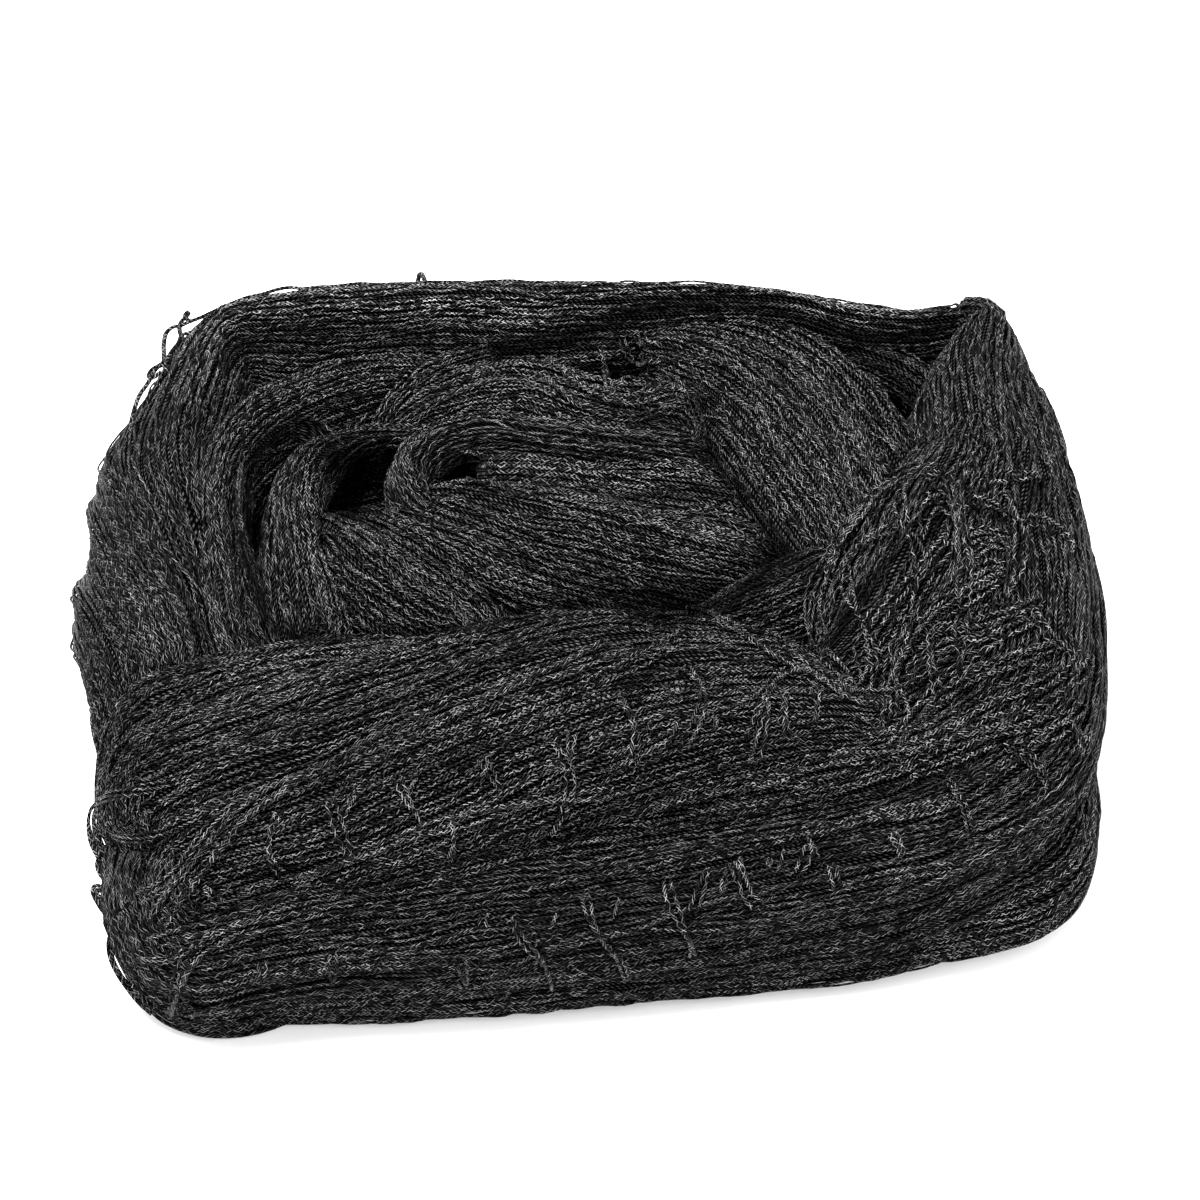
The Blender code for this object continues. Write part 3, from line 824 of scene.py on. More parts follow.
    def relief(self, place, lap):
        """Pleats, smaller folds and creases: how far they stand out of the section."""
        pleat = PLEAT_DEPTH[self.size] * np.cos(PLEATS[self.size] * lap)
        for count, depth, drift in SMALL_FOLDS[self.size]:
            wave = count * lap + math.tau * place[:, None] / drift + count
            pleat = pleat + depth * np.cos(wave)
        for first, last, crest, spread, depth in CREASES.get(self.name, ()):
            after_first = np.clip((place - first) / CREASE_FADE, 0, 1)
            before_last = np.clip((last - place) / CREASE_FADE, 0, 1)
            inside = after_first * before_last
            bend = (lap - crest + math.pi) % math.tau - math.pi
            pleat = pleat - depth * inside[:, None] * np.exp(-((bend / spread) ** 2))
        return pleat

    def spots(self, place, lap, lift=0.0):
        """Points and outward directions at lengths along (n) and angles round (n, m)."""
        station = self.at(place, self.smooth)
        along, across, up = (self.at(place, v)[:, None] for v in (self.along, self.across, self.up))
        to_ends = np.minimum(place / self.nose[0], (self.length[-1] - place) / self.nose[1])
        near = to_ends.clip(0, 1)[:, None]
        drawn_in = np.sqrt(1 - (1 - near) ** 2)
        turn = lap + np.radians(station[:, 5:6])
        cosine, sine = np.cos(turn), np.sin(turn)
        power = self.squareness
        grow = roundness(cosine, sine, power)
        slim = station[:, 3:5].min(axis=1)[:, None] / self.slimmest
        pleat = self.relief(place, lap)
        wide = drawn_in * cosine * (grow * station[:, 3:4] + slim * pleat)
        high = drawn_in * sine * (grow * station[:, 4:5] + slim * pleat)
        side = np.sign(cosine) * np.abs(cosine * grow) ** (power - 1) / station[:, 3:4]
        rise = np.sign(sine) * np.abs(sine * grow) ** (power - 1) / station[:, 4:5]
        out = unit(side[..., None] * across + rise[..., None] * up)
        lean = np.where(place < self.length[-1] / 2, -1.0, 1.0)[:, None] * (1 - near)
        out = unit(out * np.sqrt(1 - lean**2)[..., None] + along * lean[..., None])
        spot = station[:, None, :3] + wide[..., None] * across + high[..., None] * up + BUNDLE_SHIFT
        spot = spot + out * np.broadcast_to(lift, lap.shape)[..., None]
        spot[..., 2] = np.maximum(spot[..., 2], LOWEST_SKIN)
        return spot, out

    def skin(self, step, sides, lift):
        """Points and quads of the closed surface, and where each point is along and round it."""
        place = self.stations(step)
        lap = np.tile(np.arange(sides) * math.tau / sides, (len(place), 1))
        spot, _ = self.spots(place, lap, lift)
        rings = len(place)
        number = np.arange(rings * sides).reshape(rings, sides)
        after = np.roll(number, -1, axis=1)
        quads = np.stack([number[:-1], number[1:], after[1:], after[:-1]], axis=-1)
        tips = [spot[0].mean(axis=0), spot[-1].mean(axis=0)]
        first, last = rings * sides, rings * sides + 1
        faces = quads.reshape(-1, 4).tolist()
        faces += [(first, number[0, i], after[0, i]) for i in range(sides)]
        faces += [(last, after[-1, i], number[-1, i]) for i in range(sides)]
        points = np.vstack([spot.reshape(-1, 3), tips])
        across = self.share_of(place, lap) * self.girth / 2
        grain = np.stack([np.repeat(place, sides), across.ravel()], axis=1)
        grain = np.vstack([grain, grain[0], grain[-1]])
        return points, faces, grain


FOLD_SURFACES = {name: Fold(name, *form) for name, form in FOLDS.items()}


def joined_skins(detail):
    """The surfaces of all folds as one mesh: points, faces and the grain of each point."""
    points, faces, grain, first = [], [], [], 0
    for fold in FOLD_SURFACES.values():
        new_points, new_faces, new_grain = fold.skin(*detail[fold.size])
        points.append(new_points)
        faces += [tuple(first + int(i) for i in face) for face in new_faces]
        grain.append(new_grain)
        first += len(new_points)
    return np.vstack(points), faces, np.vstack(grain)


# ------------------------------------------------------------------ strands
def eased(step):
    """The whole part of each step, and what is left over, eased at both ends."""
    low = np.floor(step).astype(int)
    t = step - low
    return low, t * t * (3 - 2 * t)


class Wander:
    """Slow random wandering: one column for each strand, read at any length along it."""

    def __init__(self, rng, span, scale, columns):
        self.scale = scale
        self.marks = rng.normal(size=(math.ceil(span / scale) + 4, columns))

    def at(self, place):
        low, t = eased(np.asarray(place)[:, None] / self.scale + 1)
        low = low.clip(0, len(self.marks) - 2)
        columns = np.arange(self.marks.shape[1])[None]
        return self.marks[low, columns] * (1 - t) + self.marks[low + 1, columns] * t


def shared_flow(rng, span, place, lap, along_scale, round_count):
    """Wandering that neighbouring strands share, so that they bunch up and part together."""
    values = Wander(rng, span, along_scale, round_count).at(place)
    low, t = eased((lap / math.tau % 1) * round_count)
    rows = np.arange(len(place))[:, None]
    here, there = values[rows, low % round_count], values[rows, (low + 1) % round_count]
    return here * (1 - t) + there * t


class Twine:
    """Strands gathered for one piece: points, edges, and what each point carries."""

    def __init__(self):
        self.points, self.edges = [], []
        self.along, self.tone, self.girth, self.strand = [], [], [], []
        self.count, self.strands = 0, 0

    def add(self, spot, seen, along, tone, girth):
        """Adds strands that run down the columns, only where they are seen."""
        joined = seen[:-1] & seen[1:]
        used = np.zeros_like(seen)
        used[:-1] |= joined
        used[1:] |= joined
        number = np.full(seen.shape, -1)
        number[used] = np.arange(used.sum()) + self.count
        self.points.append(spot[used])
        self.edges.append(np.stack([number[:-1][joined], number[1:][joined]], axis=1))
        strand = self.strands + np.arange(seen.shape[1])[None]
        carried = (
            (self.along, along),
            (self.tone, tone),
            (self.girth, girth),
            (self.strand, strand),
        )
        for store, values in carried:
            store.append(np.broadcast_to(values, seen.shape)[used])
        self.count += int(used.sum())
        self.strands += seen.shape[1]


def skin_trees():
    """A search tree of each fold's surface, with its box."""
    trees = {}
    for name, fold in FOLD_SURFACES.items():
        points, faces, _ = fold.skin(*SEARCH_SKIN)
        tree = BVHTree.FromPolygons([tuple(p) for p in points], faces)
        trees[name] = (tree, points.min(axis=0), points.max(axis=0))
    return trees


def buried(spots, owner, trees, depth):
    """Which points lie deeper than this inside another fold."""
    flat = spots.reshape(-1, 3)
    inside = np.zeros(len(flat), bool)
    for name, (tree, low, high) in trees.items():
        if name == owner:
            continue
        in_box = (flat > low + depth).all(axis=1) & (flat < high - depth).all(axis=1)
        for i in np.flatnonzero(~inside & in_box):
            point = Vector(flat[i])
            spot, normal, _, _ = tree.find_nearest(point)
            if (point - spot).dot(normal) < -depth:
                inside[i] = True
    return inside.reshape(spots.shape[:-1])


def in_sight(spot, out, owner, trees, depth):
    """Which points neither face the floor they lie on nor are buried in another fold."""
    on_floor = (spot[..., 2] < FLOOR_GAP) & (out[..., 2] < FACING_DOWN)
    return ~on_floor & ~buried(spot, owner, trees, depth)


def lay_strands(twine, name, spacing, opening, shade, settings, trees, seed):
    """Covers one fold with strands whose meshes are pulled almost shut."""
    rng = np.random.default_rng(seed)
    fold = FOLD_SURFACES[name]
    count = round(fold.girth / spacing / 2)
    run = fold.hank_rows(POINT_STEP)
    rows = len(run)

    def wander(scale):
        return Wander(rng, run[-1], scale, count).at(run)

    share = np.tile(np.arange(count) * math.tau / count, (rows, 1))
    flow = 0
    for length, bunch, least, strength in BUNCHES:
        bunches = max(least, round(fold.girth / bunch))
        drawn = shared_flow(rng, run[-1], run, share, length, bunches)
        flow = flow + drawn * FLOW[fold.size] * strength
    own = sum(wander(scale) * far for scale, far in OWN_WANDER)
    rover = (rng.random(count) < ROVER_SHARE)[None]
    own = own + rover * wander(ROVER_WANDER[0]) * ROVER_WANDER[1]
    bar = settings.mesh_bar / MM
    drift = np.cumsum(rng.normal(size=count) * JOIN_DRIFT)
    phase = (run[:, None] - drift + bar * (np.arange(count) % 2)) / (2 * bar)
    shift = flow + own + np.cos(math.tau * phase) * opening
    shift = shift + rng.normal(size=count) * UNEVEN_SPACING * spacing
    place, lap = fold.hank(count, POINT_STEP, shift, (True, name not in OPEN_FAR_ENDS))
    lift = STRAND_LIFT + LIFT_WANDER[1] * wander(LIFT_WANDER[0]) + ROVER_LIFT * rover
    rank = (np.arange(count) * GOLDEN_SHARE % 1)[None] * LAST_RANK
    spare = fold.local_girth(place) / fold.girth - rank
    lift = lift - ENDING_DIP * (1 - spare / ENDING_SPAN).clip(0, 1) ** 2
    spot, out = fold.spots(place.ravel(), lap.ravel()[:, None], lift.ravel()[:, None])
    spot, out = spot.reshape(rows, count, 3), out.reshape(rows, count, 3)
    seen = (spare > 0) & in_sight(spot, out, name, trees, HIDDEN["strand"])
    steps = np.linalg.norm(np.diff(spot, axis=0), axis=2)
    along = np.vstack([np.zeros((1, count)), np.cumsum(steps, axis=0)])
    along = along + rng.uniform(0, STITCH_START, count)[None]
    # Shade is the fold's painted lightness, set to stand in for the light and shade that fold gets;
    # each strand's tone also differs at random.
    tone = shade * rng.uniform(*TONES["strand"], count)[None]
    tone = tone * (1 + FLOW_TONE * flow.clip(-1, 1))
    twine.add(spot, seen, along, tone, rng.uniform(*GIRTHS["strand"], count)[None])


class OuterSurface:
    """The outside of the whole bundle, found on a line that slants down and back to it."""

    SLANT = Vector((0, 1, -1)).normalized()
    START = 200
    DROP_FROM = 6
    DROP = 14

    def __init__(self):
        points, faces, _ = joined_skins(OUTER_SKIN)
        self.tree = BVHTree.FromPolygons([tuple(p) for p in points], faces)

    def find(self, across, rise):
        x, y = across + BUNDLE_SHIFT[0], rise + BUNDLE_SHIFT[1]
        spot, out, _, _ = self.tree.ray_cast(Vector((x, y - self.START, self.START)), self.SLANT)
        if spot is None:
            return None, None
        return np.array(spot), np.array(out)

    def drop(self, point, out):
        """The surface under a point, looking against an outward direction, or None."""
        start = Vector(point + out * self.DROP_FROM)
        spot, _, _, _ = self.tree.ray_cast(start, Vector(-out), self.DROP)
        return None if spot is None else np.array(spot)


def averaged(values, reach):
    """Each row averaged with its neighbours, with the ends kept in place."""
    if len(values) < 3:
        return values
    first, last = np.repeat(values[:1], reach, axis=0), np.repeat(values[-1:], reach, axis=0)
    padded = np.concatenate([first, values, last])
    return np.mean([padded[i : i + len(values)] for i in range(2 * reach + 1)], axis=0)


def traced(surface, places, step):
    """A path over the folds through the places: points and outward directions, a step apart."""
    fine = curve_between(places, tenths)
    fine.append(np.array(places[-1], float))
    found = [surface.find(*place) for place in fine]
    spots = np.array([spot for spot, _ in found if spot is not None])
    outs = np.array([out for spot, out in found if spot is not None])
    run = run_along(spots)
    count = max(4, math.ceil(run[-1] / step) + 1)
    even = np.linspace(0, run[-1], count)
    spots = np.stack([np.interp(even, run, column) for column in spots.T], axis=1)
    outs = np.stack([np.interp(even, run, column) for column in outs.T], axis=1)
    return averaged(spots, 3), unit(averaged(outs, 4)), even


def traced_painted_shade_and_light(surface):
    """The lines of painted shade and light laid on the folds: how dark, how wide and their points.
    """
    return [
        (depth, reach, traced(surface, places, PAINTED_LINE_STEP)[0]) for depth, reach, places in PAINTED_SHADE_AND_LIGHT
    ]


def heights_over(surface, line, outs):
    """How far the folds stand over each point of a line, and which points have a fold there."""
    gain, found = np.zeros(len(line)), np.ones(len(line), bool)
    for i, (point, out) in enumerate(zip(line, outs)):
        under = surface.drop(point, out)
        if under is None:
            found[i] = False
        else:
            gain[i] = (under - point).dot(out)
    return gain, found


def cleared(gain):
    """A smooth rise that is nowhere much lower than the folds stand over a line."""
    raised = np.maximum(gain, 0)
    for _ in range(2):
        raised = np.maximum(raised, averaged(raised[:, None], 2)[:, 0])
    return averaged(raised[:, None], 1)[:, 0]


# Strands on a path: over which length they wander, how far aside and how far up, and over which
# length and how deep they sink in at its ends.
PATH_WANDER = 16
PATH_SWAY = 0.3
PATH_RISE = 0.35
SINK_LENGTH = 5
SINK_DEPTH = 0.9
# A rope goes once round in between these lengths. Its strands lie closer than in a flat band and
# go round each other: how close, how far aside and how far up, all of the width.
ROPE_TURN = (55, 90)
ROPE_CLOSENESS = 0.6
ROPE_ASIDE = 0.2
ROPE_UP = 0.13


def lay_loose(twine, surface, strands, width, lift, places, opening, bar, rng):
    """Strands side by side on a path over the folds. Opening parts them between their joins.

    Without an opening they are a rope, which is cut where no fold lies under it.
    """
    spots, outs, run = traced(surface, places, LOOSE_STEP)
    side = unit(np.cross(unit(np.gradient(spots, axis=0)), outs))
    start = rng.uniform(0, 2 * bar)
    turn = math.tau * run / rng.uniform(*ROPE_TURN) * rng.choice([-1, 1])
    gap = width / max(strands - 1, 1)
    lines = np.empty((len(run), strands, 3))
    seen = np.ones(lines.shape[:2], bool)
    sink = np.clip(1 - np.minimum(run, run[-1] - run) / SINK_LENGTH, 0, 1)
    for j in range(strands):
        base = (j - (strands - 1) / 2) * gap
        wander = Wander(rng, run[-1], PATH_WANDER, 2).at(run)
        if opening > 0:
            swing = (-1) ** j * np.cos(math.pi * (run + start) / bar)
            shift = base + swing * gap * 0.5 * opening
            rise = lift + PATH_RISE * wander[:, 0]
        else:
            angle = turn + math.tau * j / strands
            shift = base * ROPE_CLOSENESS + width * ROPE_ASIDE * np.cos(angle)
            rise = lift + width * ROPE_UP * np.sin(angle)
        line = spots + side * (shift + PATH_SWAY * wander[:, 1])[:, None]
        gain, found = heights_over(surface, line, outs)
        if opening == 0:
            seen[:, j] = found
        line = line + outs * (cleared(gain) + np.minimum(gain, 0) * sink)[:, None]
        line = line + outs * (rise - (rise + SINK_DEPTH) * sink**2)[:, None]
        line[:, 2] = np.maximum(line[:, 2], LOWEST_STRAND)
        lines[:, j] = line
    tone = rng.uniform(*TONES["loose"], strands)[None]
    along = run[:, None] + rng.uniform(0, STITCH_START, strands)[None]
    girth = MESH_GIRTH if opening > 0 else TRACED_ROPE_GIRTH
    twine.add(lines, seen, along, tone, girth * rng.uniform(*GIRTHS["loose"], strands)[None])


# Strands of a loop: over which length they wander, how far, and how they lie behind each other.
LOOP_WANDER = 8
LOOP_SWAY = 0.15
LOOP_RISE = 0.2
LOOP_DEPTH = 0.8


def lay_loops(twine, rng):
    """The loops and threads that stand clear of the bundle."""
    facing = unit(LOOP_FACE)
    for strands, width, places in LOOSE_LOOPS:
        moved = np.array(places) + BUNDLE_SHIFT
        fine = np.array(curve_between(moved, fifths))
        run = run_along(fine)
        side = unit(np.cross(unit(np.gradient(fine, axis=0)), facing))
        for j in range(strands):
            sway = LOOP_SWAY * Wander(rng, run[-1], LOOP_WANDER, 1).at(run)[:, 0]
            shift = (j / max(strands - 1, 1) - 0.5) * width + sway
            depth = LOOP_DEPTH * rng.normal() * (strands > 1)
            depth = depth + LOOP_RISE * Wander(rng, run[-1], LOOP_WANDER, 1).at(run)[:, 0]
            line = fine + side * shift[:, None] + depth[:, None] * facing
            line[:, 2] = np.maximum(line[:, 2], LOWEST_LOOP)
            seen = np.ones((len(line), 1), bool)
            tone = np.full((1, 1), rng.uniform(*TONES["loop"]))
            girth = np.full((1, 1), LOOP_GIRTH if strands > 1 else SINGLE_LOOP_GIRTH)
            along = run[:, None] + rng.uniform(0, STITCH_START)
            twine.add(line[:, None], seen, along, tone, girth)


# Raised ropes on a fold: their length, the shortest that is kept, from how many strands to fewer
# than how many, how askew they lie, over which length they bend and how far, the length of one
# turn, how far their strands spread, how high against that they stand, and over which length and
# how deep they sink in at their ends.
RAISED_LENGTH = (45, 130)
RAISED_SHORTEST = 20
RAISED_STRANDS = (3, 6)
RAISED_SKEW = 0.1
RAISED_BEND = (40, 2.0)
RAISED_TURN = (45, 80)
RAISED_SPREAD = 0.42
RAISED_HEIGHT = 0.55
RAISED_FADE = 8
RAISED_SINK = 1.2


def lay_ropes(twine, name, count, places, laps, trees, rng):
    """Raised groups of strands that follow a fold a little askew, each twisted round itself."""
    fold = FOLD_SURFACES[name]
    for _ in range(count):
        start = rng.uniform(*places) * fold.length[-1]
        length = rng.uniform(*RAISED_LENGTH)
        end = min(start + length, fold.length[-1] - 3)
        place = np.linspace(start, end, math.ceil(length / POINT_STEP))
        if place[-1] - place[0] < RAISED_SHORTEST:
            continue
        strands = int(rng.integers(*RAISED_STRANDS))
        middle = rng.normal() * RAISED_SKEW * (place - place[0])
        bend = Wander(rng, fold.length[-1], RAISED_BEND[0], 1).at(place)[:, 0]
        middle = middle + bend * RAISED_BEND[1]
        turn = math.tau * place / rng.uniform(*RAISED_TURN)
        spread = RAISED_SPREAD * strands * 0.9 / math.pi * 2
        phase = turn[:, None] + np.arange(strands) * math.tau / strands
        shift = middle[:, None] + spread * np.cos(phase)
        lap = fold.lap_of(place, rng.uniform(*laps) + 2 * shift / fold.local_girth(place)[:, None])
        to_ends = np.minimum(place - place[0], place[-1] - place)
        fade = (to_ends / RAISED_FADE).clip(0, 1)[:, None]
        lift = -RAISED_SINK + fade * (RAISED_SINK + spread * RAISED_HEIGHT * np.sin(phase))
        spot, out = fold.spots(place, lap, lift)
        seen = in_sight(spot, out, name, trees, HIDDEN["rope"])
        along = place[:, None] + rng.uniform(0, STITCH_START, strands)[None]
        tone = rng.uniform(*TONES["rope"], strands)[None]
        twine.add(spot, seen, along, tone, rng.uniform(*GIRTHS["rope"], strands)[None])


# Stray threads: their length, how askew they lie, how far they bow and how high they stand.
STRAY_LENGTH = (10, 34)
STRAY_SLOPE = 0.25
STRAY_BOW = 2
STRAY_HEIGHT = (0.2, 1.6)
STRAY_SINK = 1.3


def lay_strays(twine, name, count, trees, rng):
    """Single threads that have sprung a little way off the others."""
    fold = FOLD_SURFACES[name]
    for _ in range(count):
        length = rng.uniform(*STRAY_LENGTH)
        start = rng.uniform(3, max(4, fold.length[-1] - length - 3))
        end = min(start + length, fold.length[-1] - 2)
        place = np.linspace(start, end, math.ceil(length / LOOSE_STEP))
        run = np.linspace(0, 1, len(place))
        slope = rng.normal() * STRAY_SLOPE
        shift = slope * length * run + rng.normal() * STRAY_BOW * np.sin(math.pi * run)
        turned = rng.uniform(0, 2) + 2 * shift / fold.local_girth(place)
        lap = fold.lap_of(place, turned[:, None])
        height = STRAY_SINK + rng.uniform(*STRAY_HEIGHT)
        lift = -STRAY_SINK + height * np.sin(math.pi * run) ** 0.7
        spot, out = fold.spots(place, lap, lift[:, None])
        seen = in_sight(spot, out, name, trees, HIDDEN["stray"])
        tone = np.full((1, 1), rng.uniform(*TONES["stray"]))
        along = place[:, None] + rng.uniform(0, STITCH_START)
        twine.add(spot, seen, along, tone, np.ones((1, 1)))


def put_attribute(mesh, name, values):
    store = mesh.attributes.new(name, "FLOAT", "POINT")
    store.data.foreach_set("value", np.ravel(values).astype(np.float32))


def mesh_object(name, points, edges, faces):
    mesh = bpy.data.meshes.new(name)
    mesh.from_pydata(np.asarray(points).tolist(), np.asarray(edges).tolist(), faces)
    mesh.validate()
    made = bpy.data.objects.new(name, mesh)
    bpy.context.scene.collection.objects.link(made)
    return made


# ------------------------------------------------------------------ twine tree
def add_node(tree, kind, **values):
    node = tree.nodes.new(kind)
    for key, value in values.items():
        setattr(node, key, value)
    return node


def twine_tree():
    """Turns edges into round twine, as thick at each point as its girth says."""
    tree = bpy.data.node_groups.new("twine", "GeometryNodeTree")
    face = tree.interface
    face.new_socket("Geometry", in_out="INPUT", socket_type="NodeSocketGeometry")
    thick = face.new_socket("Thickness", in_out="INPUT", socket_type="NodeSocketFloat")
    sides = face.new_socket("Sides", in_out="INPUT", socket_type="NodeSocketInt")
    stuff = face.new_socket("Material", in_out="INPUT", socket_type="NodeSocketMaterial")
    face.new_socket("Geometry", in_out="OUTPUT", socket_type="NodeSocketGeometry")
    enter = add_node(tree, "NodeGroupInput")
    leave = add_node(tree, "NodeGroupOutput")
    curve = add_node(tree, "GeometryNodeMeshToCurve")
    ring = add_node(tree, "GeometryNodeCurvePrimitiveCircle", mode="RADIUS")
    ring.inputs["Radius"].default_value = 1.0
    position = add_node(tree, "GeometryNodeInputPosition")
    kind = {"data_type": "FLOAT_VECTOR", "domain": "POINT"}
    keep = add_node(tree, "GeometryNodeStoreNamedAttribute", **kind)
    keep.inputs["Name"].default_value = "round"
    girth = add_node(tree, "GeometryNodeInputNamedAttribute", data_type="FLOAT")
    girth.inputs["Name"].default_value = "girth"
    scale = add_node(tree, "ShaderNodeMath", operation="MULTIPLY")
    half = add_node(tree, "ShaderNodeMath", operation="MULTIPLY")
    half.inputs[1].default_value = 0.5
    tube = add_node(tree, "GeometryNodeCurveToMesh")
    tube.inputs["Fill Caps"].default_value = True
    soft = add_node(tree, "GeometryNodeSetShadeSmooth")
    real = add_node(tree, "GeometryNodeRealizeInstances")
    paint = add_node(tree, "GeometryNodeSetMaterial")
    for source, target in (
        (enter.outputs["Geometry"], curve.inputs["Mesh"]),
        (enter.outputs["Sides"], ring.inputs["Resolution"]),
        (ring.outputs["Curve"], keep.inputs["Geometry"]),
        (position.outputs[0], keep.inputs["Value"]),
        (enter.outputs["Thickness"], half.inputs[0]),
        (girth.outputs["Attribute"], scale.inputs[0]),
        (half.outputs[0], scale.inputs[1]),
        (curve.outputs["Curve"], tube.inputs["Curve"]),
        (keep.outputs["Geometry"], tube.inputs["Profile Curve"]),
        (scale.outputs[0], tube.inputs["Scale"]),
        (tube.outputs["Mesh"], soft.inputs["Geometry"]),
        (soft.outputs["Geometry"], real.inputs["Geometry"]),
        (real.outputs["Geometry"], paint.inputs["Geometry"]),
        (enter.outputs["Material"], paint.inputs["Material"]),
        (paint.outputs["Geometry"], leave.inputs["Geometry"]),
    ):
        tree.links.new(source, target)
    names = {"thickness": thick, "sides": sides, "material": stuff}
    return tree, {name: socket.identifier for name, socket in names.items()}


def painted_shade_and_light_factor(points, painted_shade_and_light):
    """How much of its tone each point keeps beside the lines of painted shade, or gains beside
    painted light.
    """
    kept = np.ones(len(points))
    for depth, reach, line in painted_shade_and_light:
        low, high = line.min(axis=0) - 2 * reach, line.max(axis=0) + 2 * reach
        near = np.flatnonzero((points > low).all(axis=1) & (points < high).all(axis=1))
        gap = np.full(len(near), np.inf)
        for spot in line:
            gap = np.minimum(gap, ((points[near] - spot) ** 2).sum(axis=1))
        kept[near] *= 1 - depth * np.exp(-gap / reach**2)
    return kept


def twine_piece(name, twine, thickness, material, painted_shade_and_light=()):
    """A finished piece of round twine from its strands."""
    points = np.concatenate(twine.points)
    # Painted shade and light: each point's tone is darkened near the lines of painted shade and
    # lifted near painted light.
    tone = np.concatenate(twine.tone) * painted_shade_and_light_factor(points, painted_shade_and_light)
    lines = mesh_object(name + "_lines", points * MM, np.concatenate(twine.edges), [])
    put_attribute(lines.data, "along", np.concatenate(twine.along) * MM)
    put_attribute(lines.data, "tone", tone)
    put_attribute(lines.data, "girth", np.concatenate(twine.girth))
    put_attribute(lines.data, "strand", np.concatenate(twine.strand))
    tree, sockets = twine_tree()
    step = lines.modifiers.new("twine", "NODES")
    step.node_group = tree
    step[sockets["thickness"]] = thickness
    step[sockets["sides"]] = TWINE_SIDES
    step[sockets["material"]] = material
    view = bpy.context.evaluated_depsgraph_get()
    mesh = bpy.data.meshes.new_from_object(lines.evaluated_get(view), depsgraph=view)
    mesh.name = name
    piece = bpy.data.objects.new(name, mesh)
    bpy.context.scene.collection.objects.link(piece)
    bpy.data.objects.remove(lines)
    bpy.data.node_groups.remove(tree)
    if len(mesh.polygons) == 0:
        raise RuntimeError(name + " came out empty")
    return piece


# ------------------------------------------------------------------ materials
# How many legs of the stitches go round the twine each way.
LEGS = 3
# The twine on top and the deep strands: how narrow the painted glint on the crest of a leg is, how
# light chance can make it and how light it is at least, and how deep the bump is in metres.
TWINE_LEGS = {"crest": 26.0, "gain": 5.0, "least": 0.08, "bump": 0.0005}
DEEP_LEGS = {"crest": 8.0, "gain": 2.2, "least": 0.45, "bump": 0.0003}
# How rarely a leg's painted glint is bright, how far the deep strands' stitches are out of step,
# and how sharp the hollow between two of those strands is, in its bump and its painted shade.
LEG_RARITY = 3.0
DEEP_OFFSET = 9.0
DEEP_HOLLOW = 3.0


def shader_math(tree, operation, first, second=None):
    node = add_node(tree, "ShaderNodeMath", operation=operation)
    for socket, value in zip(node.inputs, (first, second)):
        if value is None:
            continue
        if isinstance(value, (int, float)):
            socket.default_value = value
        else:
            tree.links.new(value, socket)
    return node.outputs[0]


def attribute(tree, name, output="Fac"):
    return add_node(tree, "ShaderNodeAttribute", attribute_name=name).outputs[output]


def new_material(name, roughness, specular):
    material = bpy.data.materials.new(name)
    material.use_nodes = True
    shader = material.node_tree.nodes["Principled BSDF"]
    shader.inputs["Roughness"].default_value = roughness
    shader.inputs["Specular IOR Level"].default_value = specular
    return material, material.node_tree, shader


def leg_ridge(tree, turn):
    """1 on the crest of each leg and 0 between two of them."""
    return shader_math(tree, "ABSOLUTE", shader_math(tree, "COSINE", turn))


def painted_leg_glint(tree, turn, strand, ridge, legs):
    """A painted glint on the crest of each leg, by chance: most are dull and a few bright."""
    seed = add_node(tree, "ShaderNodeCombineXYZ")
    leg = shader_math(tree, "ROUND", shader_math(tree, "DIVIDE", turn, math.pi))
    tree.links.new(leg, seed.inputs[0])
    tree.links.new(strand, seed.inputs[1])
    chance = add_node(tree, "ShaderNodeTexWhiteNoise", noise_dimensions="2D")
    tree.links.new(seed.outputs[0], chance.inputs["Vector"])
    few = shader_math(tree, "POWER", chance.outputs["Value"], LEG_RARITY)
    luck = shader_math(tree, "MULTIPLY", few, legs["gain"])
    luck = shader_math(tree, "ADD", luck, legs["least"])
    return shader_math(tree, "MULTIPLY", shader_math(tree, "POWER", ridge, legs["crest"]), luck)


def press_in(tree, shader, height, depth):
    """A bump of this depth in metres."""
    bump = add_node(tree, "ShaderNodeBump")
    bump.inputs["Distance"].default_value = depth
    tree.links.new(height, bump.inputs["Height"])
    tree.links.new(bump.outputs[0], shader.inputs["Normal"])


def shade_to_colour(tree, shader, settings, painted_glint, clamped):
    """The deep colour, which is painted shade, and the twine colour where a painted glint lifts it.
    """
    blend = add_node(tree, "ShaderNodeMix", data_type="RGBA", clamp_factor=clamped)
    blend.inputs[6].default_value = (*settings.shade, 1)
    blend.inputs[7].default_value = (*settings.colour, 1)
    tree.links.new(painted_glint, blend.inputs[0])
    tree.links.new(blend.outputs[2], shader.inputs["Base Color"])


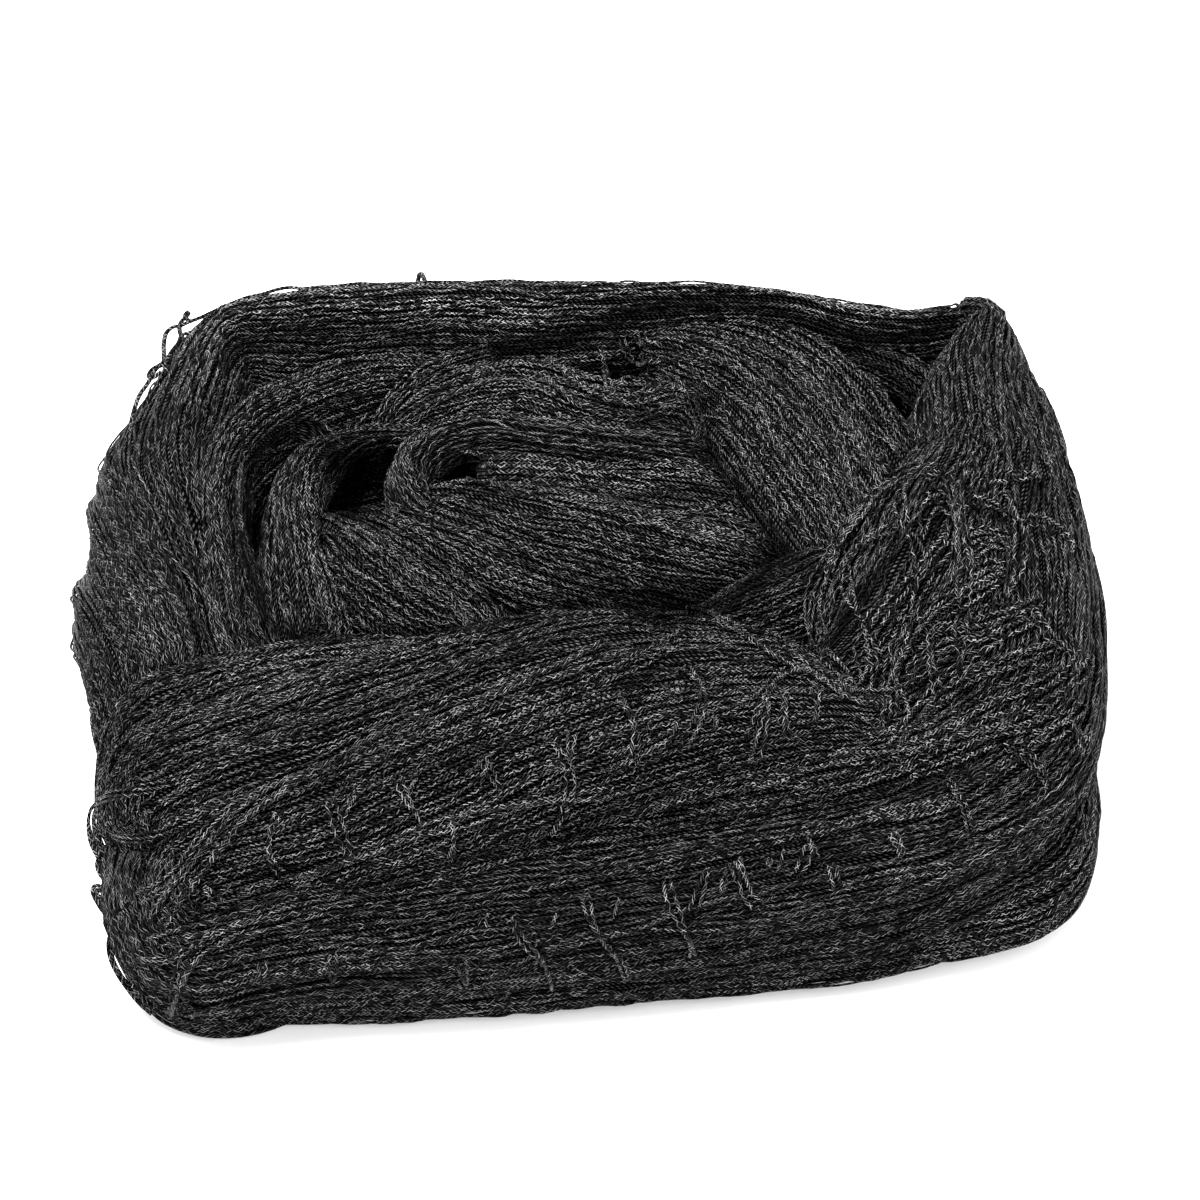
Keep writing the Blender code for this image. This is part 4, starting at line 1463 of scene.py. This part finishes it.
def twine_material(settings):
    """A fine black knitted chain: the legs of its stitches cross, with a painted glint on each
    leg's crest and painted shade between them.
    """
    material, tree, shader = new_material("knitted_twine", 0.42, 0.01)
    split = add_node(tree, "ShaderNodeSeparateXYZ")
    tree.links.new(attribute(tree, "round", "Vector"), split.inputs[0])
    angle = shader_math(tree, "ARCTAN2", split.outputs[1], split.outputs[0])
    along = shader_math(tree, "MULTIPLY", attribute(tree, "along"), math.tau / settings.twist)
    strand = shader_math(tree, "ROUND", attribute(tree, "strand"))
    ridges, lights = [], []
    for direction in ("ADD", "SUBTRACT"):
        turn = shader_math(tree, "MULTIPLY", shader_math(tree, direction, angle, along), LEGS / 2)
        ridges.append(leg_ridge(tree, turn))
        lights.append(painted_leg_glint(tree, turn, strand, ridges[-1], TWINE_LEGS))
    press_in(tree, shader, shader_math(tree, "MAXIMUM", *ridges), TWINE_LEGS["bump"])
    # Painted glints: the brighter leg at each point lifts the colour from the painted shade towards
    # the twine colour.
    painted_glint = shader_math(tree, "MAXIMUM", *lights)
    painted_glint = shader_math(tree, "MULTIPLY", attribute(tree, "tone"), painted_glint)
    shade_to_colour(tree, shader, settings, painted_glint, clamped=False)
    return material


def depth_material(settings):
    """The strands deep between the top ones: fine ribs along each fold, with painted glints on
    their legs and painted shade between them.
    """
    material, tree, shader = new_material("deep_strands", 0.6, 0.0)
    grain = add_node(tree, "ShaderNodeUVMap", uv_map="UVMap")
    split = add_node(tree, "ShaderNodeSeparateXYZ")
    tree.links.new(grain.outputs[0], split.inputs[0])
    lane = shader_math(tree, "DIVIDE", split.outputs[1], DEEP_SPACING * MM)
    number = shader_math(tree, "ROUND", lane)
    across = shader_math(tree, "MULTIPLY", shader_math(tree, "SUBTRACT", lane, number), 2.0)
    angle = shader_math(tree, "ARCSINE", across)
    start = add_node(tree, "ShaderNodeTexWhiteNoise", noise_dimensions="1D")
    tree.links.new(number, start.inputs["W"])
    start = shader_math(tree, "MULTIPLY", start.outputs["Value"], DEEP_OFFSET)
    along = shader_math(tree, "MULTIPLY", split.outputs[0], math.tau / settings.twist)
    along = shader_math(tree, "ADD", along, start)
    turn = shader_math(tree, "MULTIPLY", shader_math(tree, "ADD", angle, along), LEGS / 2)
    # The hollow between two deep strands is lower in the bump and darkened with painted shade.
    hollow = shader_math(tree, "POWER", shader_math(tree, "ABSOLUTE", across), DEEP_HOLLOW)
    rib = shader_math(tree, "SUBTRACT", 1.0, hollow)
    height = shader_math(tree, "MULTIPLY", rib, leg_ridge(tree, turn))
    press_in(tree, shader, height, DEEP_LEGS["bump"])
    painted_glint = painted_leg_glint(tree, turn, number, height, DEEP_LEGS)
    shade_to_colour(tree, shader, settings, painted_glint, clamped=True)
    return material


def floor_material(colour):
    material, _, shader = new_material("floor", 0.8, 0.5)
    shader.inputs["Base Color"].default_value = (*colour, 1)
    return material


def finish_piece(piece, replaces=False):
    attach(piece, "root")
    if replaces:
        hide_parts("net_bundle")


# ------------------------------------------------------------------ operators
class NETTING_OT_body(bpy.types.Operator):
    """Make the close body of the bundle under its top strands, dark with painted shade."""

    bl_idname = "netting.body"
    bl_label = "Netting body"

    def execute(self, context):
        points, faces, grain = joined_skins(BODY_SKIN)
        body = mesh_object("net_body", points * MM, [], faces)
        corner = np.array([loop.vertex_index for loop in body.data.loops])
        pattern = (grain * MM)[corner].astype(np.float32)
        body.data.uv_layers.new(name="UVMap").data.foreach_set("uv", pattern.ravel())
        body.data.shade_smooth()
        body.data.materials.append(depth_material(context.scene.netting))
        finish_piece(body, replaces=True)
        return {"FINISHED"}


class NETTING_OT_strands(bpy.types.Operator):
    """Lay the strands over every fold."""

    bl_idname = "netting.strands"
    bl_label = "Strands"

    def execute(self, context):
        settings = context.scene.netting
        trees = skin_trees()
        painted_shade_and_light = traced_painted_shade_and_light(OuterSurface())
        material = twine_material(settings)
        for number, (piece_name, folds) in enumerate(TWINE_PIECES.items()):
            twine = Twine()
            for place, lying in enumerate(folds):
                lay_strands(twine, *lying, settings, trees, seed=100 * number + place)
            finish_piece(twine_piece(piece_name, twine, settings.twine, material, painted_shade_and_light))
        return {"FINISHED"}


class NETTING_OT_loose(bpy.types.Operator):
    """Lay the ropes, open meshes and crossing threads over the folds."""

    bl_idname = "netting.loose"
    bl_label = "Loose meshes"

    def execute(self, context):
        settings = context.scene.netting
        material = twine_material(settings)
        surface = OuterSurface()
        trees = skin_trees()
        painted_shade_and_light = traced_painted_shade_and_light(surface)
        rng = np.random.default_rng(7)
        bar = settings.mesh_bar / MM
        for piece_name, table, opening in (
            ("open_meshes", OPEN_MESHES, MESH_OPENING),
            ("ropes", ROPES, 0.0),
            ("crossing_threads", CROSSING_BARS, MESH_OPENING),
        ):
            twine = Twine()
            for row in table:
                lay_loose(twine, surface, *row, opening, bar, rng)
            if piece_name == "ropes":
                for field in ROPE_FIELDS:
                    lay_ropes(twine, *field, trees, rng)
            if piece_name == "crossing_threads":
                lay_loops(twine, rng)
                for name, count in STRAYS.items():
                    lay_strays(twine, name, count, trees, rng)
            # Of the loose pieces only the ropes take the painted shade and light of the lines.
            painted_shade_on_piece = painted_shade_and_light if piece_name == "ropes" else ()
            finish_piece(twine_piece(piece_name, twine, settings.twine, material, painted_shade_on_piece))
        return {"FINISHED"}


class NETTING_OT_stage(bpy.types.Operator):
    """Make the floor, the lights and the camera."""

    bl_idname = "netting.stage"
    bl_label = "Stage"

    def execute(self, context):
        stage = context.scene.netting_stage
        floor = mesh_object("floor", FLOOR_CORNERS, [], [(0, 1, 2, 3)])
        floor.data.materials.append(floor_material(stage.floor))
        world = bpy.data.worlds.new("studio")
        context.scene.world = world
        world.use_nodes = True
        sky = world.node_tree.nodes["Background"]
        sky.inputs[0].default_value = (1, 1, 1, 1)
        sky.inputs[1].default_value = SKY_STRENGTH
        for name, place, size, power in LAMPS:
            light = bpy.data.lights.new(name, "AREA")
            light.size, light.energy = size, power
            lamp = bpy.data.objects.new(name, light)
            lamp.location = place
            lamp.rotation_euler = (-Vector(place)).to_track_quat("-Z", "Y").to_euler()
            context.scene.collection.objects.link(lamp)
        data = bpy.data.cameras.new("camera")
        data.lens = stage.lens
        data.sensor_width = 36.0
        camera = bpy.data.objects.new("camera", data)
        context.scene.collection.objects.link(camera)
        tilt = stage.elevation
        back = Vector((0, -math.cos(tilt), math.sin(tilt)))
        aim = CAMERA_AIM * MM + Vector(BUNDLE_SHIFT.tolist()) * MM
        place = Matrix.Translation(aim + back * stage.distance)
        camera.matrix_world = place @ Matrix.Rotation(math.pi / 2 - tilt, 4, "X")
        context.scene.camera = camera
        context.scene.view_settings.view_transform = "Standard"
        return {"FINISHED"}


class NETTING_PT_panel(bpy.types.Panel):
    """Lists what builds the bundle."""

    bl_label = "Bird netting"
    bl_idname = "NETTING_PT_panel"
    bl_space_type = "VIEW_3D"
    bl_region_type = "UI"
    bl_category = "Netting"

    def draw(self, context):
        for settings in (context.scene.netting, context.scene.netting_stage):
            for name in settings.__annotations__:
                self.layout.prop(settings, name)
        for operator in OPERATORS:
            self.layout.operator(operator.bl_idname)


OPERATORS = (NETTING_OT_body, NETTING_OT_strands, NETTING_OT_loose, NETTING_OT_stage)
CLASSES = (NettingSettings, StageSettings, *OPERATORS, NETTING_PT_panel)


def register():
    for item in CLASSES:
        bpy.utils.register_class(item)
    bpy.types.Scene.netting = bpy.props.PointerProperty(type=NettingSettings)
    bpy.types.Scene.netting_stage = bpy.props.PointerProperty(type=StageSettings)


def unregister():
    del bpy.types.Scene.netting
    del bpy.types.Scene.netting_stage
    for item in reversed(CLASSES):
        bpy.utils.unregister_class(item)


def main():
    register()
    bpy.ops.netting.body()
    bpy.ops.netting.strands()
    bpy.ops.netting.loose()
    bpy.ops.netting.stage()


if __name__ == "__main__":
    main()
